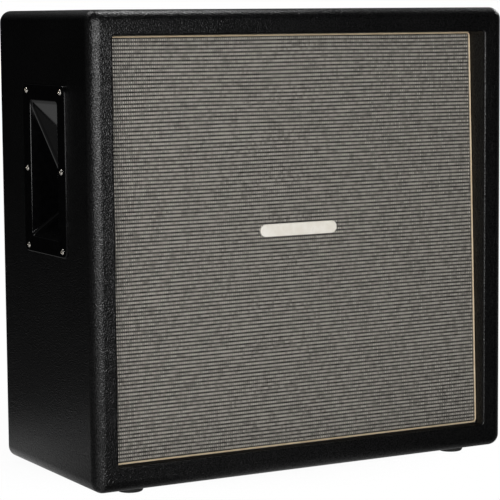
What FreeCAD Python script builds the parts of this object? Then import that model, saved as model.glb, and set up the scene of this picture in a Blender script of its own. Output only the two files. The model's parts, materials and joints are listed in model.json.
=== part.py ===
"""Closed-back guitar speaker cabinet with four twelve-inch drivers.

Units are millimetres. +X is to the right of someone facing the grille, +Y runs from the
grille to the rear panel, +Z is up, and the origin lies on the floor under the middle.
The drivers, the baffle and the grille are modelled upright in the baffle's own frame and
then leaned back together by the grille's tilt.
"""
import FreeCAD, Part
import math
import os

from FreeCAD import Placement, Rotation, Vector

# Drivers set the size of the box: two rows of two, with gaps between the rims.
DRIVER_RIM_DIAMETER = 309.0
DRIVER_GAP_ACROSS = 27.0
DRIVER_GAP_UPRIGHT = 17.0
DRIVER_MARGIN_ACROSS = 13.5
DRIVER_MARGIN_UPRIGHT = 9.25

# Cabinet shell: boards, the vinyl glued over them, and the rounded edges of the outside.
BOARD = 18.0
VINYL = 1.0
DEPTH = 326.0
SIDE_EDGE_ROUND = 18.0
FRONT_EDGE_ROUND = 17.0
REAR_EDGE_ROUND = 5.0
FINGERS = 9

# Front frame: battens inside the boards' front edges, and the leaning grille behind them.
BATTEN = 17.0
OPENING_EDGE_ROUND = 3.0
OPENING_CORNER_ROUND = 4.0
GRILLE_DEPTH = 31.0
GRILLE_TILT_DEG = 2.0
CLOTH = 0.8
CLOTH_RIM_GAP = 1.0
BAFFLE = 18.0
BAFFLE_GAP = 1.6
PIPING_DIAMETER = 2.6
PIPING_GAP = 0.4
PIPING_CORNER_ROUND = 5.0
BADGE_LENGTH = 132.0
BADGE_HEIGHT = 19.0
BADGE_THICKNESS = 3.5
BADGE_EDGE_ROUND = 1.2
BADGE_RISE = 17.0
BADGE_PIN_DIAMETER = 3.0
BADGE_PIN_SPACING = 90.0
BADGE_PIN_DEPTH = 9.0

# Rear panel, the battens it screws to, and the post that ties it to the baffle.
REAR_INSET = 9.0
REAR_PANEL = 15.0
REAR_PANEL_GAP = 0.8
REAR_BATTEN_WIDTH = 22.0
REAR_BATTEN_DEPTH = 20.0
POST = 38.0

# Recessed carrying handles, one on each side.
HANDLE_WIDTH = 150.0
HANDLE_HEIGHT = 250.0
HANDLE_PLATE = 3.0
HANDLE_CORNER_ROUND = 11.0
HANDLE_EDGE_ROUND = 1.6
HANDLE_DROP = 233.0
HANDLE_FORWARD = 6.0
HANDLE_MOUTH_WIDTH = 98.0
HANDLE_MOUTH_HEIGHT = 202.0
HANDLE_MOUTH_TURN = 6.0
HANDLE_MOUTH_ROUND = 1.2
HANDLE_WALL = 3.0
SCOOP_DEPTH = 58.0
SCOOP_TOP_DROP = 138.0
SCOOP_TOP_TURN = 12.0
SCOOP_FOOT_RISE = 45.0
SCOOP_FOOT_TURN = 6.0
SCOOP_SIDE_DRAW = 5.0
POCKET_DEPTH = 28.0
POCKET_WIDTH = 78.0
POCKET_RISE = 30.0
POCKET_FALL = 53.0
POCKET_CORNER_ROUND = 10.0
HANDLE_CUTOUT_GAP = 1.5
HANDLE_SCREW_ACROSS = 122.0
HANDLE_SCREW_UPRIGHT = 115.5

# Rubber feet.
FOOT_HEIGHT = 7.0
FOOT_TOP_DIAMETER = 44.0
FOOT_BASE_DIAMETER = 36.0
FOOT_BASE_ROUND = 2.0
FOOT_SINK_DIAMETER = 18.0
FOOT_SINK_DEPTH = 4.2
FOOT_SETBACK = 40.0
FOOT_INSET = 73.0
FOOT_WASHER = 1.2
FOOT_WASHER_GAP = 0.4

# Screws and bolts. A pilot hole is wider than its screw by the running gap on each side.
SCREW_GAP = 0.1
HANDLE_SCREW_DIAMETER = 4.0
HANDLE_SCREW_LENGTH = 18.0
HANDLE_SCREW_HEAD_DIAMETER = 8.2
HANDLE_SCREW_HEAD_HEIGHT = 2.4
FOOT_SCREW_DIAMETER = 4.5
FOOT_SCREW_LENGTH = 20.0
FOOT_SCREW_HEAD_DIAMETER = 9.0
FOOT_SCREW_HEAD_HEIGHT = 2.8
PANEL_SCREW_DIAMETER = 4.0
PANEL_SCREW_LENGTH = 32.0
PANEL_SCREW_HEAD_DIAMETER = 8.0
PANEL_SCREW_HEAD_HEIGHT = 2.2
PANEL_CUP_DIAMETER = 15.0
PANEL_CUP_HEIGHT = 1.8
PANEL_SCREWS_ACROSS = 4
PANEL_SCREWS_UPRIGHT = 3
PANEL_SCREW_END = 40.0
BAFFLE_SCREW_DIAMETER = 4.5
BAFFLE_SCREW_BITE = 12.0
BAFFLE_SCREW_HEAD_DIAMETER = 9.0
BAFFLE_SCREW_HEAD_HEIGHT = 2.8
BAFFLE_SCREW_END = 60.0
RECESS_WIDTH = 1.1
RECESS_DEPTH = 1.1
RECESS_SHARE = 0.56

# Driver, measured back from the face of its gasket.
DRIVER_SEAT = 13.5
GASKET = 4.0
GASKET_BAND = 13.0
EDGE_SHEET = 0.6
BASKET_SHEET = 1.6
BASKET_FLANGE = 15.0
BASKET_SHOULDER_DEPTH = 20.0
BASKET_SHOULDER_STEP = 4.5
SPIDER_LEDGE_DEPTH = 64.0
SPIDER_LEDGE_DIAMETER = 140.0
BASKET_NECK_DIAMETER = 120.0
BASKET_BACK_DEPTH = 84.0
BASKET_BACK_BORE_DIAMETER = 62.0
WINDOWS = 8
WINDOW_TURN_SHARE = 0.62
WINDOW_TOP_SHARE = 0.12
WINDOW_FOOT_SHARE = 0.86
CONE_EDGE_WIDTH = 21.5
CONE_SHEET = 0.8
CONE_NECK_DEPTH = 52.0
CONE_BOW_SHARE = 0.1
EDGE_WAVES = 3
EDGE_WAVE_HEIGHT = 2.2
GLUE_LAP = 3.0
CAP_DIAMETER = 62.0
CAP_RISE = 13.0
CAP_SHEET = 0.5
COIL_DIAMETER = 44.6
FORMER_SHEET = 0.4
WINDING_SHEET = 0.8
WINDING_LENGTH = 10.0
SPIDER_WAVES = 5
SPIDER_WAVE_HEIGHT = 2.0
SPIDER_SHEET = 0.5
SPIDER_GLUE = 0.3
TOP_PLATE = 8.0
TOP_PLATE_DIAMETER = 112.0
GAP_CLEARANCE = 0.5
MAGNET = 17.0
MAGNET_DIAMETER = 134.0
MAGNET_BORE_DIAMETER = 62.0
BACK_PLATE = 8.0
BACK_PLATE_DIAMETER = 116.0
BACK_PLATE_EDGE_CUT = 2.0
BOLT_EDGE = 6.0
BOLTS_PER_DRIVER = 4
BOLT_DIAMETER = 5.0
BOLT_HEAD_DIAMETER = 10.0
BOLT_TAIL = 2.0
NUT_ACROSS_FLATS = 8.0
NUT_HEIGHT = 4.0
TERMINAL_WIDTH = 24.0
TERMINAL_THICKNESS = 5.0
TERMINAL_LENGTH = 16.0
LUG_SPACING = 12.0
LUG_WIDTH = 5.0
LUG_THICKNESS = 1.0
LUG_LENGTH = 10.0
LUG_SETBACK = 5.0

# Jack plate on the rear panel, its socket and the wires inside.
JACK_RISE = 168.0
JACK_PLATE_WIDTH = 92.0
JACK_PLATE_HEIGHT = 66.0
JACK_PLATE = 1.6
JACK_PLATE_ROUND = 7.0
JACK_SCREW_MARGIN = 8.0
JACK_SCREW_DIAMETER = 3.5
JACK_SCREW_LENGTH = 12.0
JACK_SCREW_HEAD_DIAMETER = 6.6
JACK_SCREW_HEAD_HEIGHT = 2.0
JACK_HOLE_GAP = 1.5
JACK_BORE_DIAMETER = 6.5
JACK_BUSH_DIAMETER = 9.5
JACK_BUSH_REACH = 6.0
JACK_BODY_WIDTH = 22.0
JACK_BODY_LENGTH = 30.0
JACK_BORE_LENGTH = 26.0
JACK_NUT_ACROSS_FLATS = 13.0
JACK_NUT_HEIGHT = 2.6
JACK_LUG_SPACING = 12.0
JACK_LUG_WIDTH = 9.0
JACK_LUG_THICKNESS = 1.0
JACK_LUG_LENGTH = 9.0
WIRE_DIAMETER = 3.2
WIRE_LEAD = 26.0
WIRE_POST_GAP = 22.0
BEND_RUN_SHARE = 0.45
WIRE_PAIR_SPACING = 4.4

# One overrun serves every cut that has to pass clean through.
OVERRUN = 5.0

# Two places nearer than this count as one.
NEAR = 0.0001

# Sizes that follow from the ones above.
INNER_WIDTH = 2 * DRIVER_RIM_DIAMETER + DRIVER_GAP_ACROSS + 2 * DRIVER_MARGIN_ACROSS
INNER_HEIGHT = 2 * DRIVER_RIM_DIAMETER + DRIVER_GAP_UPRIGHT + 2 * DRIVER_MARGIN_UPRIGHT
WIDTH = INNER_WIDTH + 2 * (BOARD + VINYL)
BODY_HEIGHT = INNER_HEIGHT + 2 * (BOARD + VINYL)
FRAME_FACE = VINYL + BOARD + BATTEN + VINYL
OPENING_WIDTH = WIDTH - 2 * FRAME_FACE
OPENING_HEIGHT = BODY_HEIGHT - 2 * FRAME_FACE
FRONT = -DEPTH / 2
REAR = DEPTH / 2
FLOOR_OF_BODY = FOOT_HEIGHT
MIDDLE = FLOOR_OF_BODY + BODY_HEIGHT / 2
PANEL_FACE = REAR - REAR_INSET
PANEL_SEAT = PANEL_FACE - VINYL - REAR_PANEL
DRIVER_X = (DRIVER_RIM_DIAMETER + DRIVER_GAP_ACROSS) / 2
DRIVER_Z = (DRIVER_RIM_DIAMETER + DRIVER_GAP_UPRIGHT) / 2
BAFFLE_FRONT = CLOTH
BAFFLE_REAR = CLOTH + BAFFLE
FLANGE_DEPTH = GASKET + EDGE_SHEET
DRIVER_HOLE_DIAMETER = DRIVER_RIM_DIAMETER - 2 * DRIVER_SEAT
GASKET_BORE_DIAMETER = DRIVER_RIM_DIAMETER - 2 * GASKET_BAND
BASKET_WALL_DIAMETER = DRIVER_RIM_DIAMETER - 2 * BASKET_FLANGE
BASKET_SHOULDER_DIAMETER = BASKET_WALL_DIAMETER - 2 * BASKET_SHOULDER_STEP
CONE_DIAMETER = BASKET_WALL_DIAMETER - 2 * CONE_EDGE_WIDTH
BOLT_CIRCLE_DIAMETER = DRIVER_RIM_DIAMETER - 2 * BOLT_EDGE
HANDLE_RISE = BODY_HEIGHT - HANDLE_DROP
ALONG_X, ALONG_Y, ALONG_Z = Vector(1, 0, 0), Vector(0, 1, 0), Vector(0, 0, 1)
LEAN = Placement(Vector(0, FRONT + GRILLE_DEPTH, MIDDLE), Rotation(ALONG_X, -GRILLE_TILT_DEG))
CORNERS = {"upper_left": (-1, 1), "upper_right": (1, 1), "lower_left": (-1, -1), "lower_right": (1, -1)}


def span_box(low, high):
    """Box between two opposite corners."""
    size = [high[i] - low[i] for i in range(3)]
    return Part.makeBox(*size, Vector(*low))


def upright_prism(width, height, y_from, y_to, centre_z=MIDDLE, corner_round=0):
    """Rectangular prism along Y about the cabinet's middle, with its long edges rounded if asked."""
    low = (-width / 2, y_from, centre_z - height / 2)
    high = (width / 2, y_to, centre_z + height / 2)
    prism = span_box(low, high)
    if corner_round > 0:
        prism = prism.makeFillet(corner_round, edges_along(prism, ALONG_Y))
    return prism


def edges_along(shape, direction):
    """Straight edges of a shape that run along a direction."""
    found = []
    for edge in shape.Edges:
        if isinstance(edge.Curve, Part.Line):
            way = edge.tangentAt(edge.FirstParameter)
            if way.cross(direction).Length < NEAR:
                found.append(edge)
    return found


def edges_at(shape, axis, place):
    """Edges that lie in the plane at a place along an axis, 0 for X, 1 for Y and 2 for Z."""
    return [e for e in shape.Edges if all(abs(v.Point[axis] - place) < NEAR for v in e.Vertexes)]


def rod(diameter, start, direction, length):
    """Round bar from a start point along a direction."""
    return Part.makeCylinder(diameter / 2, length, start, direction)


def turned(profile, axis_point=Vector(0, 0, 0), axis=ALONG_Y):
    """Solid turned about an axis from a closed profile, a wire or a list of (radius, depth) points."""
    if isinstance(profile, list):
        points = [Vector(r, y, 0) for r, y in profile]
        profile = Part.makePolygon(points + points[:1])
    full_turn_deg = 360
    return Part.Face(profile).revolve(axis_point, axis, full_turn_deg)


def hexagon(across_flats, height, start, direction):
    """Hexagonal bar with its axis through the start point."""
    sides = 6
    radius = across_flats / 2 / math.cos(math.pi / sides)
    turn = Rotation(ALONG_Z, direction)
    points = []
    for k in range(sides + 1):
        angle = 2 * math.pi * k / sides
        points.append(turn.multVec(Vector(radius * math.cos(angle), radius * math.sin(angle), 0)) + start)
    return Part.Face(Part.makePolygon(points)).extrude(direction * height)


def dome_middle(radius, seat, crown):
    """Point half way along a dome's circular arc from its rim at the seat to its crown on the axis."""
    rise = seat - crown
    ball = (radius * radius + rise * rise) / (2 * rise)
    half_angle = math.asin(radius / ball) / 2
    return Vector(ball * math.sin(half_angle), crown + ball * (1 - math.cos(half_angle)), 0)


def domed_screw(shank, length, head, head_height, seat, direction):
    """Domed screw with a cross recess, its head on the seat and its shank along the direction."""
    crown, rim = Vector(0, -head_height, 0), Vector(head / 2, 0, 0)
    dome = Part.Arc(crown, dome_middle(head / 2, 0, -head_height), rim).toShape()
    corners = [rim, Vector(shank / 2, 0, 0), Vector(shank / 2, length, 0), Vector(0, length, 0), crown]
    screw = turned(Part.Wire([dome] + [Part.makeLine(a, b) for a, b in zip(corners, corners[1:])]))
    reach = head * RECESS_SHARE / 2
    half, floor = RECESS_WIDTH / 2, -head_height + RECESS_DEPTH
    cross = [span_box((-reach, floor - OVERRUN, -half), (reach, floor, half)),
             span_box((-half, floor - OVERRUN, -reach), (half, floor, reach))]
    screw = screw.cut(cross[0].fuse(cross[1]))
    screw.Placement = Placement(seat, Rotation(ALONG_Y, direction))
    return screw


def pilot(screw_diameter, seat, direction, length):
    """Clearance hole for a screw, a little longer than its shank."""
    start = seat - direction * OVERRUN
    return rod(screw_diameter + 2 * SCREW_GAP, start, direction, length + SCREW_GAP + OVERRUN)


def lean(shape):
    """Shape moved from the baffle's upright frame to its leaning place."""
    moved = shape.copy()
    moved.Placement = LEAN.multiply(moved.Placement)
    return moved


def behind(depth):
    """Everything behind a plane of the leaning baffle, as one large block."""
    reach = WIDTH + BODY_HEIGHT + DEPTH
    return lean(span_box((-reach, depth, -reach), (reach, reach, reach)))


def group(solids):
    """Several separate solids as one shape."""
    return Part.makeCompound(solids)


# Places of the screws, shared by the screws and by the holes they pass through.

def panel_screw_places():
    """(x, z) of the rear panel's screws: along its four edges, with one in the post."""
    edge_x = INNER_WIDTH / 2 - REAR_BATTEN_WIDTH / 2
    edge_z = INNER_HEIGHT / 2 - REAR_BATTEN_WIDTH / 2
    reach_x = INNER_WIDTH / 2 - PANEL_SCREW_END
    reach_z = INNER_HEIGHT / 2 - PANEL_SCREW_END
    places = [(0, MIDDLE)]
    for k in range(PANEL_SCREWS_ACROSS):
        x = -reach_x + 2 * reach_x * k / (PANEL_SCREWS_ACROSS - 1)
        places += [(x, MIDDLE + edge_z), (x, MIDDLE - edge_z)]
    for k in range(PANEL_SCREWS_UPRIGHT):
        z = MIDDLE - reach_z + 2 * reach_z * (k + 1) / (PANEL_SCREWS_UPRIGHT + 1)
        places += [(edge_x, z), (-edge_x, z)]
    return places


def handle_screw_places():
    """(y, z) of a handle's six screws."""
    rise = FLOOR_OF_BODY + HANDLE_RISE
    rows = (-HANDLE_SCREW_UPRIGHT, 0, HANDLE_SCREW_UPRIGHT)
    columns = (-HANDLE_SCREW_ACROSS / 2, HANDLE_SCREW_ACROSS / 2)
    return [(y - HANDLE_FORWARD, rise + z) for y in columns for z in rows]


def foot_places():
    """(x, y) of the four feet."""
    x, y = WIDTH / 2 - FOOT_INSET, DEPTH / 2 - FOOT_SETBACK
    return [(sx * x, sy * y) for sx in (-1, 1) for sy in (-1, 1)]


def baffle_screw_places():
    """(x, z) in the baffle's frame of the screws that hold it to the front battens."""
    edge_x = INNER_WIDTH / 2 - BATTEN / 2
    edge_z = INNER_HEIGHT / 2 - BATTEN / 2
    far_x, far_z = INNER_WIDTH / 2 - BAFFLE_SCREW_END, INNER_HEIGHT / 2 - BAFFLE_SCREW_END
    places = [(x, z) for x in (-far_x, 0, far_x) for z in (-edge_z, edge_z)]
    places += [(x, z) for x in (-edge_x, edge_x) for z in (-far_z, 0, far_z)]
    return places


def bolt_angles():
    """Turn of each driver bolt about the driver's axis."""
    return [2 * math.pi * (k + 1 / 2) / BOLTS_PER_DRIVER for k in range(BOLTS_PER_DRIVER)]


def jack_screw_places():
    """(x, z) of the jack plate's corner screws."""
    x = JACK_PLATE_WIDTH / 2 - JACK_SCREW_MARGIN
    z = JACK_PLATE_HEIGHT / 2 - JACK_SCREW_MARGIN
    rise = FLOOR_OF_BODY + JACK_RISE
    return [(sx * x, rise + sz * z) for sx in (-1, 1) for sz in (-1, 1)]


# Cabinet shell.

def rounded_block(inset):
    """The cabinet's outer block with all its edges rounded, drawn in by an inset on every side."""
    width, depth, height = WIDTH - 2 * inset, DEPTH - 2 * inset, BODY_HEIGHT - 2 * inset
    block = upright_prism(width, height, -depth / 2, depth / 2, MIDDLE, SIDE_EDGE_ROUND - inset)
    block = block.makeFillet(FRONT_EDGE_ROUND - inset, edges_at(block, 1, -depth / 2))
    return block.makeFillet(REAR_EDGE_ROUND - inset, edges_at(block, 1, depth / 2))


def opened_block(inset):
    """Rounded block with the front opening and the rear seat cut into it, ends of the cuts left closed."""
    block = rounded_block(inset)
    grow = 2 * inset
    face = FRONT + inset
    mouth = upright_prism(OPENING_WIDTH + grow, OPENING_HEIGHT + grow, FRONT - OVERRUN, 0, MIDDLE,
                          OPENING_CORNER_ROUND + inset)
    block = block.cut(mouth)
    half_x, half_z = OPENING_WIDTH / 2 + inset, OPENING_HEIGHT / 2 + inset
    rim = [e for e in edges_at(block, 1, face)
           if max(abs(v.X) for v in e.Vertexes) < half_x + inset + OPENING_EDGE_ROUND
           and max(abs(v.Z - MIDDLE) for v in e.Vertexes) < half_z + inset + OPENING_EDGE_ROUND]
    block = block.makeFillet(OPENING_EDGE_ROUND - inset, rim)
    lined_width, lined_height = INNER_WIDTH - 2 * VINYL, INNER_HEIGHT - 2 * VINYL
    seat = upright_prism(lined_width + grow, lined_height + grow, PANEL_SEAT, REAR + OVERRUN)
    return block.cut(seat)


def inner_space():
    """The straight-sided room between the four boards."""
    return upright_prism(INNER_WIDTH, INNER_HEIGHT, FRONT - OVERRUN, REAR + OVERRUN)


def handle_cutouts():
    """Holes for both handles' dishes and screws, through the sides."""
    rise = FLOOR_OF_BODY + HANDLE_RISE
    half_y = HANDLE_MOUTH_WIDTH / 2 + HANDLE_WALL + HANDLE_CUTOUT_GAP
    half_z = HANDLE_MOUTH_HEIGHT / 2 + HANDLE_WALL + HANDLE_CUTOUT_GAP
    inside = INNER_WIDTH / 2 - OVERRUN
    cuts = []
    for side in (-1, 1):
        ends = sorted((side * inside, side * (WIDTH / 2 + OVERRUN)))
        low = (ends[0], -HANDLE_FORWARD - half_y, rise - half_z)
        high = (ends[1], -HANDLE_FORWARD + half_y, rise + half_z)
        cuts.append(span_box(low, high))
        for y, z in handle_screw_places():
            seat = Vector(side * (WIDTH / 2 + HANDLE_PLATE), y, z)
            cuts.append(pilot(HANDLE_SCREW_DIAMETER, seat, Vector(-side, 0, 0), HANDLE_SCREW_LENGTH))
    return group(cuts)


def foot_cutouts():
    """Pilot holes for the feet's screws, up into the bottom board."""
    holes = []
    for x, y in foot_places():
        seat = Vector(x, y, FOOT_SINK_DEPTH - FOOT_WASHER)
        holes.append(pilot(FOOT_SCREW_DIAMETER, seat, ALONG_Z, FOOT_SCREW_LENGTH))
    return group(holes)


def wood_block():
    return opened_block(VINYL)


def boards(wood):
    """The four shell boards, finger-jointed at the corners."""
    ring = wood.cut(inner_space())
    half_x, half_z = INNER_WIDTH / 2, INNER_HEIGHT / 2
    far_x, far_z = WIDTH, BODY_HEIGHT
    zone = {
        "left_side_board": span_box((-far_x, -DEPTH, MIDDLE - far_z), (-half_x, DEPTH, MIDDLE + far_z)),
        "right_side_board": span_box((half_x, -DEPTH, MIDDLE - far_z), (far_x, DEPTH, MIDDLE + far_z)),
        "top_board": span_box((-far_x, -DEPTH, MIDDLE + half_z), (far_x, DEPTH, MIDDLE + far_z)),
        "bottom_board": span_box((-far_x, -DEPTH, MIDDLE - far_z), (far_x, DEPTH, MIDDLE - half_z)),
    }
    pitch = (DEPTH - 2 * VINYL) / FINGERS
    slabs = []
    for k in range(FINGERS):
        start = FRONT + VINYL + k * pitch
        slabs.append(span_box((-far_x, start, MIDDLE - far_z), (far_x, start + pitch, MIDDLE + far_z)))
    level = zone["top_board"].fuse(zone["bottom_board"])
    upright = zone["left_side_board"].fuse(zone["right_side_board"])
    gaps_in_sides = level.common(group(slabs[1::2]))
    gaps_in_level = upright.common(group(slabs[0::2]))
    cuts = group([handle_cutouts(), foot_cutouts()])
    made = {}
    for name, block in zone.items():
        gaps = gaps_in_sides if "side" in name else gaps_in_level
        made[name] = ring.common(block).cut(gaps).cut(cuts).removeSplitter()
    return made


def vinyl_covering(wood):
    """The vinyl skin: over the outside, round the front frame into the recess, and round the rear edge."""
    behind_cloth = upright_prism(INNER_WIDTH, INNER_HEIGHT, FRONT, 0).common(behind(0))
    skin = opened_block(0).cut(wood).cut(behind_cloth)
    return skin.cut(group([handle_cutouts(), foot_cutouts()])).removeSplitter()


def front_battens(wood):
    """Four battens behind the front frame, their rear faces cut to the grille's lean."""
    frame = wood.common(inner_space()).cut(behind(0)).cut(lean(group(baffle_pilots())))
    half_x, half_z = INNER_WIDTH / 2 - BATTEN, INNER_HEIGHT / 2 - BATTEN
    far_x, far_z = WIDTH, BODY_HEIGHT
    zones = [
        span_box((-far_x, -DEPTH, MIDDLE + half_z), (far_x, DEPTH, MIDDLE + far_z)),
        span_box((-far_x, -DEPTH, MIDDLE - far_z), (far_x, DEPTH, MIDDLE - half_z)),
        span_box((-far_x, -DEPTH, MIDDLE - half_z), (-half_x, DEPTH, MIDDLE + half_z)),
        span_box((half_x, -DEPTH, MIDDLE - half_z), (far_x, DEPTH, MIDDLE + half_z)),
    ]
    return group([s for z in zones for s in frame.common(z).removeSplitter().Solids])


def rear_battens():
    """Four battens round the inside, flush with the rear panel's seat."""
    start = PANEL_SEAT - REAR_BATTEN_DEPTH
    half_x, half_z = INNER_WIDTH / 2, INNER_HEIGHT / 2
    w = REAR_BATTEN_WIDTH
    battens = [
        span_box((-half_x, start, MIDDLE + half_z - w), (half_x, PANEL_SEAT, MIDDLE + half_z)),
        span_box((-half_x, start, MIDDLE - half_z), (half_x, PANEL_SEAT, MIDDLE - half_z + w)),
        span_box((-half_x, start, MIDDLE - half_z + w), (-half_x + w, PANEL_SEAT, MIDDLE + half_z - w)),
        span_box((half_x - w, start, MIDDLE - half_z + w), (half_x, PANEL_SEAT, MIDDLE + half_z - w)),
    ]
    pilots = group(panel_pilots())
    return group([b.cut(pilots) for b in battens])


# Grille and baffle, in the baffle's own upright frame.

def baffle_half_size():
    """Half width and half height of the baffle, clear of the boards when it leans."""
    return INNER_WIDTH / 2 - BAFFLE_GAP, INNER_HEIGHT / 2 - BAFFLE_GAP


def baffle_pilots():
    """Clearance holes for the baffle's screws, entered from the rear."""
    holes = []
    for x, z in baffle_screw_places():
        seat = Vector(x, BAFFLE_REAR, z)
        holes.append(pilot(BAFFLE_SCREW_DIAMETER, seat, -ALONG_Y, BAFFLE + CLOTH + BAFFLE_SCREW_BITE))
    return holes


def badge_pin_places():
    """Foot of each badge pin on the cloth's face."""
    return [Vector(sx * BADGE_PIN_SPACING / 2, 0, BADGE_RISE) for sx in (-1, 1)]


def badge_pilots():
    return [pilot(BADGE_PIN_DIAMETER, p, ALONG_Y, BADGE_PIN_DEPTH) for p in badge_pin_places()]


def driver_bolt_places():
    """Every driver bolt's place on the baffle's front face."""
    places = []
    for sx, sz in CORNERS.values():
        for angle in bolt_angles():
            reach = BOLT_CIRCLE_DIAMETER / 2
            x = sx * DRIVER_X + reach * math.cos(angle)
            z = sz * DRIVER_Z + reach * math.sin(angle)
            places.append(Vector(x, BAFFLE_FRONT, z))
    return places


def bolt_head(start):
    """Countersunk head, flush with the baffle's front face."""
    height = (BOLT_HEAD_DIAMETER - BOLT_DIAMETER) / 2
    return Part.makeCone(BOLT_HEAD_DIAMETER / 2, BOLT_DIAMETER / 2, height, start, ALONG_Y)


def baffle_board():
    half_x, half_z = baffle_half_size()
    board = span_box((-half_x, BAFFLE_FRONT, -half_z), (half_x, BAFFLE_REAR, half_z))
    cuts = []
    for sx, sz in CORNERS.values():
        centre = Vector(sx * DRIVER_X, BAFFLE_FRONT - OVERRUN, sz * DRIVER_Z)
        cuts.append(rod(DRIVER_HOLE_DIAMETER, centre, ALONG_Y, BAFFLE + 2 * OVERRUN))
    for place in driver_bolt_places():
        cuts.append(pilot(BOLT_DIAMETER, place, ALONG_Y, BAFFLE + OVERRUN))
        cuts.append(bolt_head(place))
    cuts += baffle_pilots() + badge_pilots()
    return board.cut(group(cuts))


def grille_cloth():
    """Cloth stretched over the baffle's face, round its edges and turned in behind them."""
    half_x, half_z = baffle_half_size()
    low = (-half_x - CLOTH, 0, -half_z - CLOTH)
    outer = span_box(low, (half_x + CLOTH, BAFFLE_REAR + CLOTH, half_z + CLOTH))
    board = span_box((-half_x, BAFFLE_FRONT, -half_z), (half_x, BAFFLE_REAR, half_z))
    clear_x = INNER_WIDTH / 2 - DRIVER_MARGIN_ACROSS + CLOTH_RIM_GAP
    clear_z = INNER_HEIGHT / 2 - DRIVER_MARGIN_UPRIGHT + CLOTH_RIM_GAP
    window = span_box((-clear_x, BAFFLE_REAR, -clear_z), (clear_x, BAFFLE_REAR + OVERRUN, clear_z))
    heads = [rod(BAFFLE_SCREW_HEAD_DIAMETER + 2 * SCREW_GAP, Vector(x, BAFFLE_REAR, z), ALONG_Y, OVERRUN)
             for x, z in baffle_screw_places()]
    return outer.cut(board).cut(window).cut(group(baffle_pilots() + badge_pilots() + heads))


def grille_piping():
    """Round cord laid on the cloth along the edge of the front opening."""
    half_x = OPENING_WIDTH / 2 - PIPING_GAP - PIPING_DIAMETER / 2
    half_z = OPENING_HEIGHT / 2 - PIPING_GAP - PIPING_DIAMETER / 2
    flat = span_box((-half_x, -PIPING_DIAMETER / 2, -half_z), (half_x, 0, half_z))
    flat = flat.makeFillet(PIPING_CORNER_ROUND, edges_along(flat, ALONG_Y))
    face = min(flat.Faces, key=lambda f: f.CenterOfMass.y)
    path = Part.Wire(Part.__sortEdges__(face.OuterWire.Edges))
    start = path.Edges[0].Vertexes[0].Point
    tangent = path.Edges[0].tangentAt(path.Edges[0].FirstParameter)
    ring = Part.Wire(Part.makeCircle(PIPING_DIAMETER / 2, start, tangent))
    return path.makePipeShell([ring], True, True)


def badge_plate():
    """Blank oblong badge with rounded ends, held by two pins through the cloth."""
    half = BADGE_LENGTH / 2
    low = (-half, -BADGE_THICKNESS, BADGE_RISE - BADGE_HEIGHT / 2)
    high = (half, 0, BADGE_RISE + BADGE_HEIGHT / 2)
    plate = span_box(low, high)
    nearly_half_share = 0.49
    plate = plate.makeFillet(BADGE_HEIGHT * nearly_half_share, edges_along(plate, ALONG_Y))
    plate = plate.makeFillet(BADGE_EDGE_ROUND, edges_at(plate, 1, -BADGE_THICKNESS))
    pins = [rod(BADGE_PIN_DIAMETER, p, ALONG_Y, BADGE_PIN_DEPTH) for p in badge_pin_places()]
    return plate.multiFuse(pins).removeSplitter()


def baffle_screws():
    screws = []
    for x, z in baffle_screw_places():
        seat = Vector(x, BAFFLE_REAR, z)
        length = BAFFLE + CLOTH + BAFFLE_SCREW_BITE
        screws.append(domed_screw(BAFFLE_SCREW_DIAMETER, length, BAFFLE_SCREW_HEAD_DIAMETER,
                                  BAFFLE_SCREW_HEAD_HEIGHT, seat, -ALONG_Y))
    return group(screws)


# Rear panel and its parts.

def panel_pilots():
    """Clearance holes for the rear panel's screws."""
    return [pilot(PANEL_SCREW_DIAMETER, Vector(x, PANEL_FACE, z), -ALONG_Y, PANEL_SCREW_LENGTH)
            for x, z in panel_screw_places()]


def jack_pilots():
    """Clearance holes for the jack plate's screws."""
    return [pilot(JACK_SCREW_DIAMETER, Vector(x, PANEL_FACE + JACK_PLATE, z), -ALONG_Y, JACK_SCREW_LENGTH)
            for x, z in jack_screw_places()]


def jack_hole():
    """Round hole for the socket's body, clear of its corners."""
    diameter = JACK_BODY_WIDTH * math.sqrt(2) + 2 * JACK_HOLE_GAP
    start = Vector(0, PANEL_SEAT - OVERRUN, FLOOR_OF_BODY + JACK_RISE)
    return rod(diameter, start, ALONG_Y, REAR_PANEL + VINYL + 2 * OVERRUN)


def rear_panel_size(grow):
    """Width and height of the rear panel with or without its vinyl."""
    gap = VINYL + REAR_PANEL_GAP + VINYL - grow
    return INNER_WIDTH - 2 * gap, INNER_HEIGHT - 2 * gap


def rear_panel():
    width, height = rear_panel_size(0)
    board = upright_prism(width, height, PANEL_SEAT, PANEL_FACE - VINYL)
    return board.cut(group(panel_pilots() + jack_pilots() + [jack_hole()]))


def rear_panel_vinyl():
    width, height = rear_panel_size(VINYL)
    skin = upright_prism(width, height, PANEL_SEAT, PANEL_FACE)
    board = upright_prism(*rear_panel_size(0), PANEL_SEAT, PANEL_FACE - VINYL)
    return skin.cut(board).cut(group(panel_pilots() + jack_pilots() + [jack_hole()]))


def centre_post():
    """Post between the baffle and the rear panel, its front end cut to the baffle's lean."""
    post = upright_prism(POST, POST, FRONT, PANEL_SEAT)
    return post.common(behind(BAFFLE_REAR)).cut(group(panel_pilots()))


def rear_panel_screws():
    seat_y = PANEL_FACE + PANEL_CUP_HEIGHT
    screws = []
    for x, z in panel_screw_places():
        screws.append(domed_screw(PANEL_SCREW_DIAMETER, PANEL_SCREW_LENGTH, PANEL_SCREW_HEAD_DIAMETER,
                                  PANEL_SCREW_HEAD_HEIGHT, Vector(x, seat_y, z), -ALONG_Y))
    return group(screws)


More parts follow.
